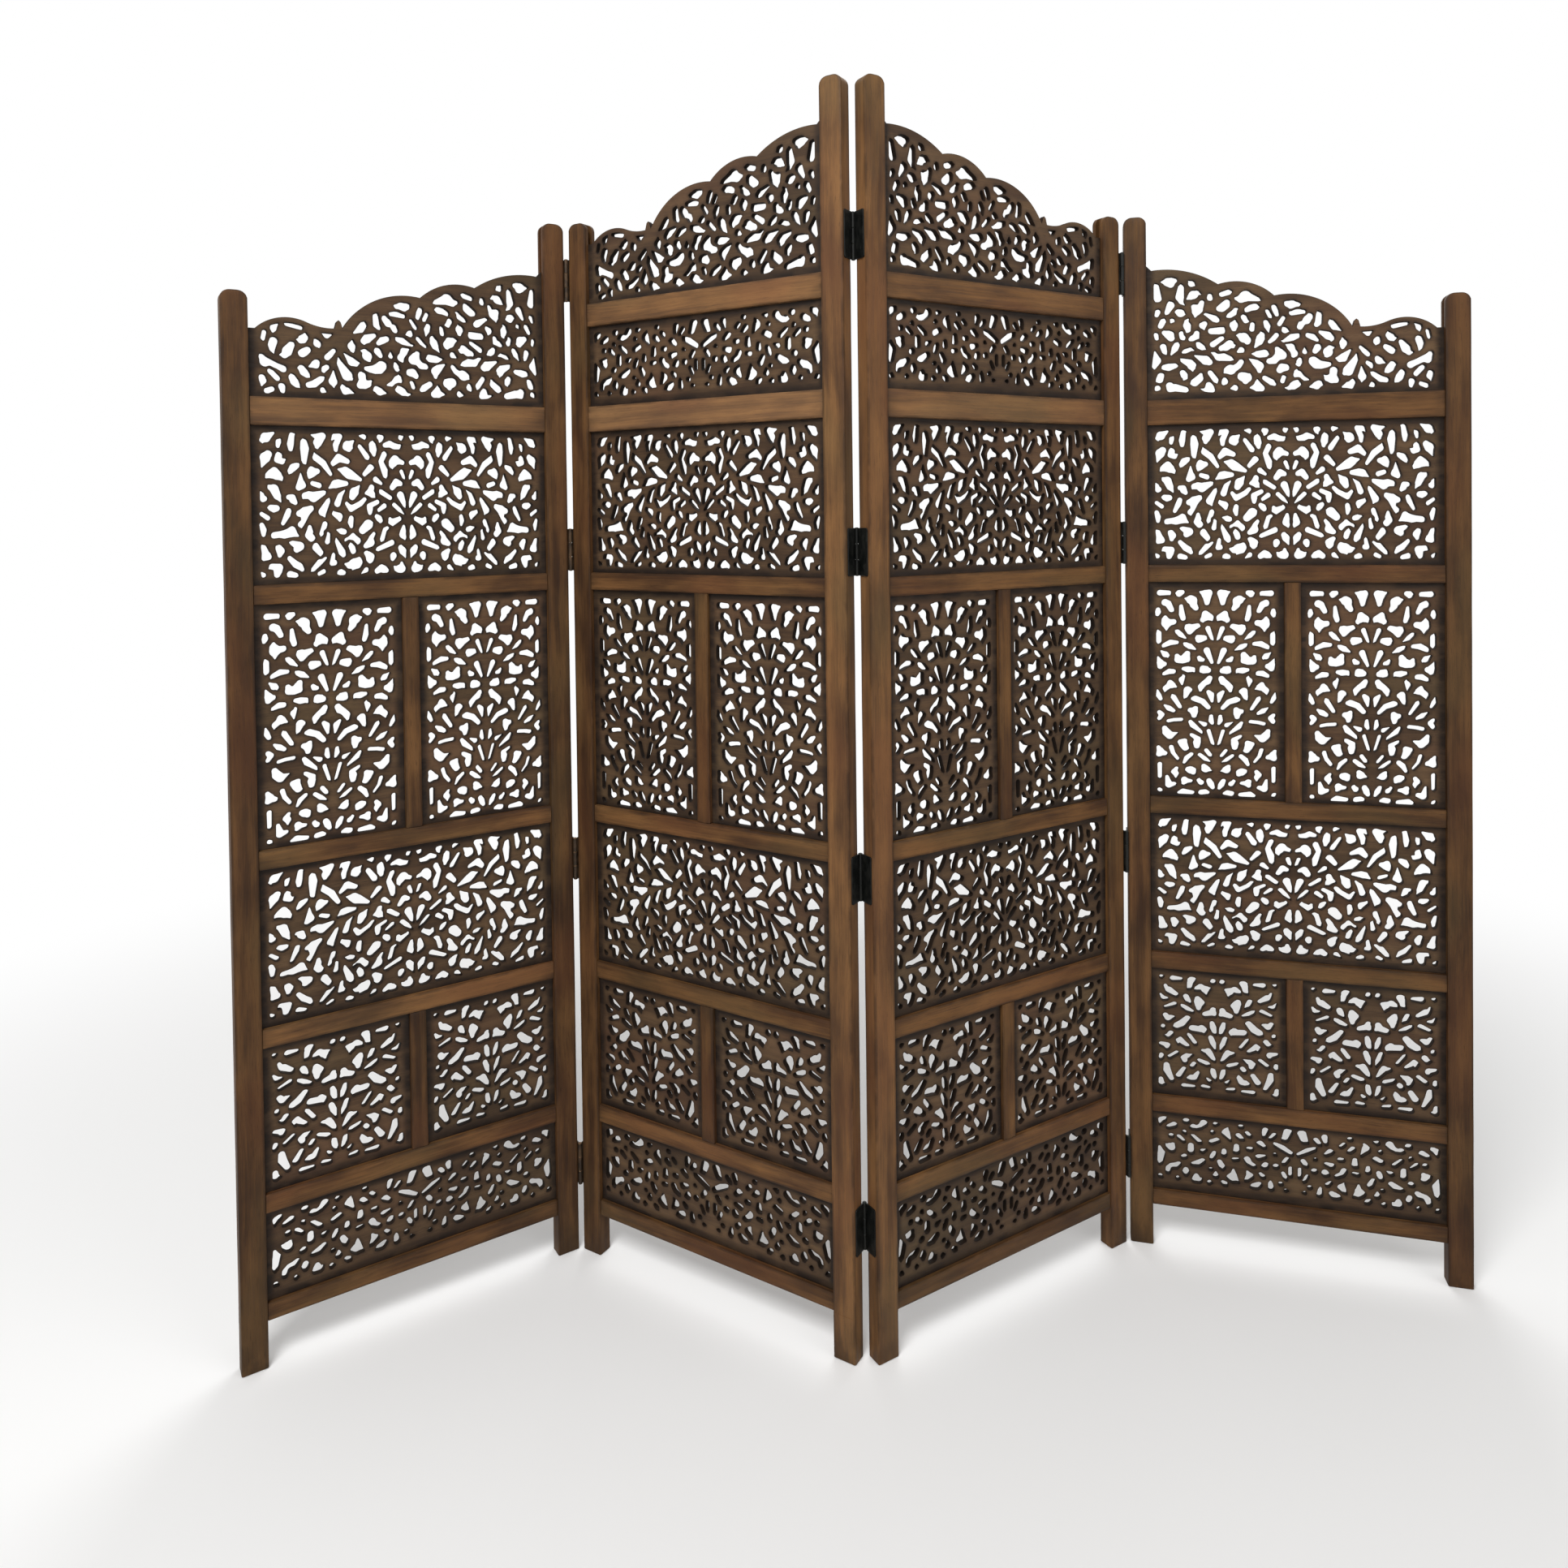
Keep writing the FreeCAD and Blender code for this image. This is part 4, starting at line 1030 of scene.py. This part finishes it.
def steel(name, dark, light):
    """Blackened steel with thin patches of brown."""
    s = Finish(name)
    at = s.attribute("grain_at", 1)
    grit = s.noise(at, STEEL_GRIT, detail=3.0)
    patches = s.noise(at, STEEL_PATCHES, detail=3.0, roughness=0.6)
    colour = s.mixed(s.spread(patches, *PATCH_RANGE), linear(*dark), linear(*light))
    rubbed = s.maths("MULTIPLY", s.attribute("wear", 2), s.spread(grit, *RUBBED_STEEL_RANGE))
    colour = s.mixed(rubbed, colour, linear(*[min(255, c * RUBBED_STEEL) for c in light]))
    s.surface.inputs["Metallic"].default_value = STEEL_METALLIC
    rough = s.spread(patches, *MIDDLE_RANGE, *STEEL_ROUGHNESS)
    return s.done(colour, rough, grit, *STEEL_BUMP)


frame_wood = wood("frame_wood", dark=(50, 30, 14), light=(104, 72, 40), red=(92, 56, 31),
                  olive=(84, 67, 39), stain_and_shade=(32, 20, 10), rubbed=(0.15, 0.6))
# On the frets the stain colour paints shade: the darker rims of the openings and painted shadow
# along the plates' borders.
fret_face = wood("fret_wood", dark=(56, 40, 27), light=(96, 74, 52), red=(87, 60, 43),
                 olive=(81, 68, 45), stain_and_shade=(28, 18, 11), rubbed=(0.7, 1.0))
# The openings' walls and chamfers are painted much darker than the faces, as painted shade inside
# the openings.
shaded_fret_wall = wood("fret_edge_wood", dark=(22, 14, 9), light=(42, 30, 20), red=(38, 24, 16),
                 olive=(34, 27, 18), stain_and_shade=(20, 13, 8), rubbed=(0.1, 0.3),
                 specular=0.1, roughness=(0.65, 0.85))
black_steel = steel("hinge_steel", (13, 15, 13), (26, 26, 22))
brown_steel = steel("left_hinge_steel", (44, 34, 24), (74, 56, 38))


# Building the leaves

plates = {kind: plate_skin(kind) for kind in DESIGNS}


def at_opening(kind, x, z):
    """A plate's skin moved to its opening."""
    points, faces, wear, tones = plates[kind]
    return np.array(points) + (x, 0.0, z), faces, wear, tones


def build(leaf, part, skins, materials, grain):
    """Makes the pieces of one node of a leaf."""
    node = f"{leaf.name}_{part}"
    for index, skin in enumerate(skins):
        label = node + "_wood" if len(skins) == 1 else f"{node[:-1]}_{index + 1}"
        add_piece(label, leaf, skin, [node], materials, grain)


for leaf in leaves.values():
    for part in ("short_stile", "long_stile"):
        box = leaf.boxes(f"{leaf.name}_{part}")[0]
        points, faces, wear, tones = stile_skin(box[1][2])
        if part == "long_stile":
            points[:, 0] = leaf.width - points[:, 0]
        build(leaf, part, [(points, faces, wear, tones)], [frame_wood], "z")
    rail_parts = ["bottom_rail", "cross_rails", "shoulder_rail"]
    rail_parts += ["crest_rail"] if leaf.inner else []
    for part in rail_parts:
        skins = [bar_skin(box, 0, part != "bottom_rail")
                 for box in leaf.boxes(f"{leaf.name}_{part}")]
        build(leaf, part, skins, [frame_wood], "x")
    skins = [bar_skin(box, 2) for box in leaf.boxes(f"{leaf.name}_mullions")]
    build(leaf, "mullions", skins, [frame_wood], "z")
    for kind in DESIGNS:
        part = "crest_fret" if kind == "crest" else kind + "_frets"
        skins = [at_opening(kind, box[0][0] + FRET_REACH, box[0][2] + GROOVE_DEPTH)
                 for box in leaf.boxes(f"{leaf.name}_{part}")]
        build(leaf, part, skins, [fret_face, shaded_fret_wall], "x")


# Hinges. A hinge is drawn about its pin's axis, which runs along z: its plate lies to +x
# of the pin and runs to +y.
HINGE_LENGTH = 68.0
PLATE_GAP = 0.4
PLATE_THICKNESS = 1.8
PLATE_END = 24.6
PLATE_CORNER = 3.0
PLATE_CORNER_STEPS = 6
PLATE_CHAMFER = 0.2
SAME_PLACE = 0.01
KNUCKLES = 3
KNUCKLE_RADIUS = 3.2
KNUCKLE_GAP = 0.4
KNUCKLE_REACH = 3.5
KNUCKLE_EASE = 0.35
KNUCKLE_WORN = 3 * KNUCKLE_EASE
KNUCKLE_LENGTH = (HINGE_LENGTH - (KNUCKLES - 1) * KNUCKLE_GAP) / KNUCKLES
BARREL_SIDES = 28
BORE_PLAY = 0.05
PIN_RADIUS = 1.5
PIN_OFFSET = 3.6
PIN_HEAD_RADIUS = 2.3
PIN_HEAD_RISE = 0.8

# The pin's head: shares of its radius and its rise, and the wear there
PIN_DOME = ((1.0, 0.0, 0.5), (0.95, 0.45, 1), (0.65, 0.85, 1), (0.0, 1.0, 0.5))

# A screw: a slotted head, with a plain base that closes its slot
SCREW_END = 13.0
SCREW_ACROSS = 15.0
SCREW_RADIUS = 3.0
SCREW_RISE = 0.12
SCREW_SIDES = 28
SCREW_CHAMFER = 0.08
SCREW_WEAR = 0.3
SCREW_BASE_SHARE = 0.98
SCREW_BASE_DEPTH = 0.3
SCREW_BASE_OVERLAP = 0.02
SCREW_BASE_CHAMFER = 0.05
SLOT_HALF_LENGTH = SCREW_RADIUS * 0.97
SLOT_HALF_WIDTH = 0.4
SLOT_DEPTH = 0.5
SLOT_SHARE = 0.93


def lathed(profile, closed):
    """A skin turned about the z axis from (radius, level, wear) points."""
    points, faces, wear = [], [], []
    count = len(profile)
    for side in range(BARREL_SIDES):
        angle = math.tau * side / BARREL_SIDES
        for radius, level, worn_and_shaded in profile:
            points.append((radius * math.cos(angle), radius * math.sin(angle), level))
            wear.append(worn_and_shaded)
        here, there = side * count, (side + 1) % BARREL_SIDES * count
        for k in range(count if closed else count - 1):
            after = (k + 1) % count
            faces.append((here + k, there + k, there + after, here + after))
    return points, faces, wear, None


def knuckle_skin(low, high):
    """One knuckle of the barrel, bored for its pin."""
    bore, eased_radius = PIN_RADIUS + BORE_PLAY, KNUCKLE_RADIUS - KNUCKLE_EASE
    return lathed([
        (bore, low, 0), (eased_radius, low, 1),
        (KNUCKLE_RADIUS, low + KNUCKLE_EASE, 1), (KNUCKLE_RADIUS, low + KNUCKLE_WORN, 0),
        (KNUCKLE_RADIUS, high - KNUCKLE_WORN, 0), (KNUCKLE_RADIUS, high - KNUCKLE_EASE, 1),
        (eased_radius, high, 1), (bore, high, 0)], True)


def pin_skin(low, high):
    """A pin with low domed heads on the barrel's ends."""
    top = [(PIN_RADIUS, high, 0)]
    top += [(PIN_HEAD_RADIUS * out, high + PIN_HEAD_RISE * up, worn_and_shaded) for out, up, worn_and_shaded in PIN_DOME]
    bottom = [(radius, low - (level - high), worn_and_shaded) for radius, level, worn_and_shaded in top]
    return lathed(bottom[::-1] + top, False)


def hinge_plate_skin(low, high, knuckles):
    """The flat part of a hinge half, with tongues that end in its knuckles."""
    outline = [(KNUCKLE_REACH, low)]
    for centre, first in ((low + PLATE_CORNER, -math.pi / 2), (high - PLATE_CORNER, 0.0)):
        for step in range(PLATE_CORNER_STEPS + 1):
            angle = first + step / PLATE_CORNER_STEPS * math.pi / 2
            outline.append((PLATE_END - PLATE_CORNER + PLATE_CORNER * math.cos(angle),
                            centre + PLATE_CORNER * math.sin(angle)))
    outline.append((KNUCKLE_REACH, high))
    for start, end in reversed(knuckles):
        outline += [(KNUCKLE_REACH, end), (0.0, end), (0.0, start), (KNUCKLE_REACH, start)]
    clean = [outline[0]]
    for mark in outline[1:]:
        if math.dist(mark, clean[-1]) > SAME_PLACE:
            clean.append(mark)
    if math.dist(clean[0], clean[-1]) < SAME_PLACE:
        clean.pop()
    inner = PLATE_GAP / 2
    points, faces, _, _ = pierced_skin([np.array(clean)], inner, inner + PLATE_THICKNESS,
                                       PLATE_CHAMFER)
    return [(y, x, z) for x, y, z in points], faces, None, None


def screw_skin(across, level, tilt):
    """A countersunk slotted head on the face of a hinge plate that looks at the pin."""
    turns = [math.tau * k / SCREW_SIDES for k in range(SCREW_SIDES)]
    circle = np.array([(SCREW_RADIUS * math.cos(a), SCREW_RADIUS * math.sin(a)) for a in turns])
    slot = np.array(((-1, -1), (-1, 1), (1, 1), (1, -1))) * (SLOT_HALF_LENGTH, SLOT_HALF_WIDTH)
    top = pierced_skin([circle, slot * SLOT_SHARE], -SCREW_RISE, SLOT_DEPTH, SCREW_CHAMFER)
    base = pierced_skin([circle * SCREW_BASE_SHARE], SLOT_DEPTH - SCREW_BASE_OVERLAP,
                        SLOT_DEPTH + SCREW_BASE_DEPTH, SCREW_BASE_CHAMFER)
    points, faces, _, _ = joined([top, base])
    u, depth, v = np.array(points).T
    y = across + u * math.cos(tilt) - v * math.sin(tilt)
    z = level + u * math.sin(tilt) + v * math.cos(tilt)
    turned = np.column_stack([PLATE_GAP / 2 + depth, y, z])
    return turned, faces, [SCREW_WEAR] * len(turned), None


def on_leaf_side(skin, leaf, on_left, at_back):
    """A hinge skin moved from its pin's axes to the side face of its leaf."""
    points = np.array(skin[0], float)
    if not on_left:
        points[:, 0] *= -1
    if at_back:
        points[:, 1] *= -1
    gap = PLATE_GAP / 2 + PLATE_THICKNESS
    points[:, 0] += -gap if on_left else leaf.width + gap
    points[:, 1] += LEAF_DEPTH + PIN_OFFSET if at_back else -PIN_OFFSET
    return points, *skin[1:]


# fold, its left and right leaf, whether its pins are at the back, slot and material
FOLDS = (
    ("left_fold", "outer_left", "inner_left", False, "left_hinge_steel", brown_steel),
    ("centre_fold", "inner_left", "inner_right", True, "hinge_steel", black_steel),
    ("right_fold", "inner_right", "outer_right", False, "hinge_steel", black_steel),
)
for fold, left, right, at_back, slot, material in FOLDS:
    for side, leaf, shown in (("left", leaves[left], (0, 2)), ("right", leaves[right], (1,))):
        node = f"{fold}_hinge_plates_{side}"
        for index, box in enumerate(leaf.boxes(node, False)):
            middle = (box[0][2] + box[1][2]) / 2
            low, high = middle - HINGE_LENGTH / 2, middle + HINGE_LENGTH / 2
            starts = [low + k * (KNUCKLE_LENGTH + KNUCKLE_GAP) for k in shown]
            spans = [(start, start + KNUCKLE_LENGTH) for start in starts]
            skins = [hinge_plate_skin(low, high, spans)]
            skins += [knuckle_skin(*span) for span in spans]
            skins += [screw_skin(SCREW_ACROSS, level, randoms.uniform(0, math.pi))
                      for level in (low + SCREW_END, high - SCREW_END)]
            made = [(f"{fold}_hinge_half_{side}_{index + 1}", node, joined(skins))]
            if side == "left":
                pin = (f"{fold}_hinge_pin_{index + 1}", f"{fold}_hinge_pins", pin_skin(low, high))
                made.insert(0, pin)
            for label, replaced, skin in made:
                skin = on_leaf_side(skin, leaf, side == "right", at_back)
                add_piece(label, leaf, skin, [replaced], [material], "z", False)


# Floor and background. The floor turns white between two distances from its middle.
FLOOR_REACH = 30.0
WHITE_FROM = 1.1
WHITE_TO = 2.8
WHITE = (1, 1, 1, 1)
FLOOR_COLOUR = (0.94, 0.94, 0.94, 1)
FLOOR_ROUGHNESS = 0.85
SKY_COLOUR = (0.90, 0.89, 0.87, 1)
SKY_STRENGTH = 0.45
floor_mesh = bpy.data.meshes.new("floor")
corners = np.array(((-1, -1, 0), (1, -1, 0), (1, 1, 0), (-1, 1, 0))) * FLOOR_REACH
floor_mesh.from_pydata(corners.tolist(), [], [(0, 1, 2, 3)])
floor = bpy.data.objects.new("floor", floor_mesh)
bpy.context.scene.collection.objects.link(floor)
finish = Finish("floor_finish")
finish.surface.inputs["Base Color"].default_value = FLOOR_COLOUR
finish.surface.inputs["Roughness"].default_value = FLOOR_ROUGHNESS
place = finish.add("NewGeometry", {}).outputs["Position"]
flat = finish.vector("MULTIPLY", place, (1.0, 1.0, 0.0))
away = finish.add("VectorMath", {0: flat}, operation="LENGTH").outputs["Value"]
share = finish.maths("MULTIPLY", finish.spread(away, WHITE_FROM, WHITE_TO), finish.seen_only())
glow = finish.add("Emission", {"Color": WHITE, "Strength": 1.0})
finish.show(share, finish.surface, glow, "Material Output")
floor_mesh.materials.append(finish.material)

world = bpy.data.worlds.new("studio")
bpy.context.scene.world = world
studio = Nodes(world)
sky = studio.tree.nodes["Background"]
sky.inputs["Color"].default_value = SKY_COLOUR
sky.inputs["Strength"].default_value = SKY_STRENGTH
white = studio.add("Background", {"Color": WHITE, "Strength": 1.0})
studio.show(studio.seen_only(), sky, white, "World Output")

# Lamps: each one's place, what it looks at, its size and its power
LAMPS = {
    "key_light": ((-1.1, -2.4, 3.6), (0, 0, 1.1), 1.5, 110),
    "fill_light": ((3.2, -2.6, 2.2), (0, 0, 1.0), 2.6, 34),
    "back_light": ((0.6, 3.2, 3.4), (0, 0, 0.9), 2.6, 52),
}
for name, (place, target, width, power) in LAMPS.items():
    lamp = bpy.data.lights.new(name, "AREA")
    lamp.size = width
    lamp.energy = power
    made = bpy.data.objects.new(name, lamp)
    made.location = place
    made.rotation_euler = (Vector(target) - Vector(place)).to_track_quat("-Z", "Y").to_euler()
    bpy.context.scene.collection.objects.link(made)

# Camera, fitted to the photograph's frame
PHOTO_WIDTH = 1932
SENSOR = 36.0
FOCAL_PIXELS = 1392.2
CENTRE_V = 650
CLIP_START = 0.05
CAMERA_PLACE = (-0.13105, -1.7275, 1.21989)
CAMERA_PITCH = math.radians(0.93016)
CAMERA_ROLL = math.radians(-0.72957)
camera_data = bpy.data.cameras.new("camera")
camera_data.sensor_width = SENSOR
camera_data.lens = FOCAL_PIXELS * SENSOR / PHOTO_WIDTH
camera_data.shift_y = (CENTRE_V - PHOTO_WIDTH / 2) / PHOTO_WIDTH
camera_data.clip_start = CLIP_START
camera = bpy.data.objects.new("camera", camera_data)
forward = Vector((0, math.cos(CAMERA_PITCH), -math.sin(CAMERA_PITCH)))
up = Vector((0, math.sin(CAMERA_PITCH), math.cos(CAMERA_PITCH)))
right = Vector((1, 0, 0))
tilted_right = right * math.cos(CAMERA_ROLL) + up * math.sin(CAMERA_ROLL)
tilted_up = up * math.cos(CAMERA_ROLL) - right * math.sin(CAMERA_ROLL)
turn = Matrix((tilted_right, tilted_up, -forward)).transposed()
camera.matrix_world = Matrix.Translation(CAMERA_PLACE) @ turn.to_4x4()
bpy.context.scene.collection.objects.link(camera)
bpy.context.scene.camera = camera
bpy.context.scene.view_settings.view_transform = "Standard"
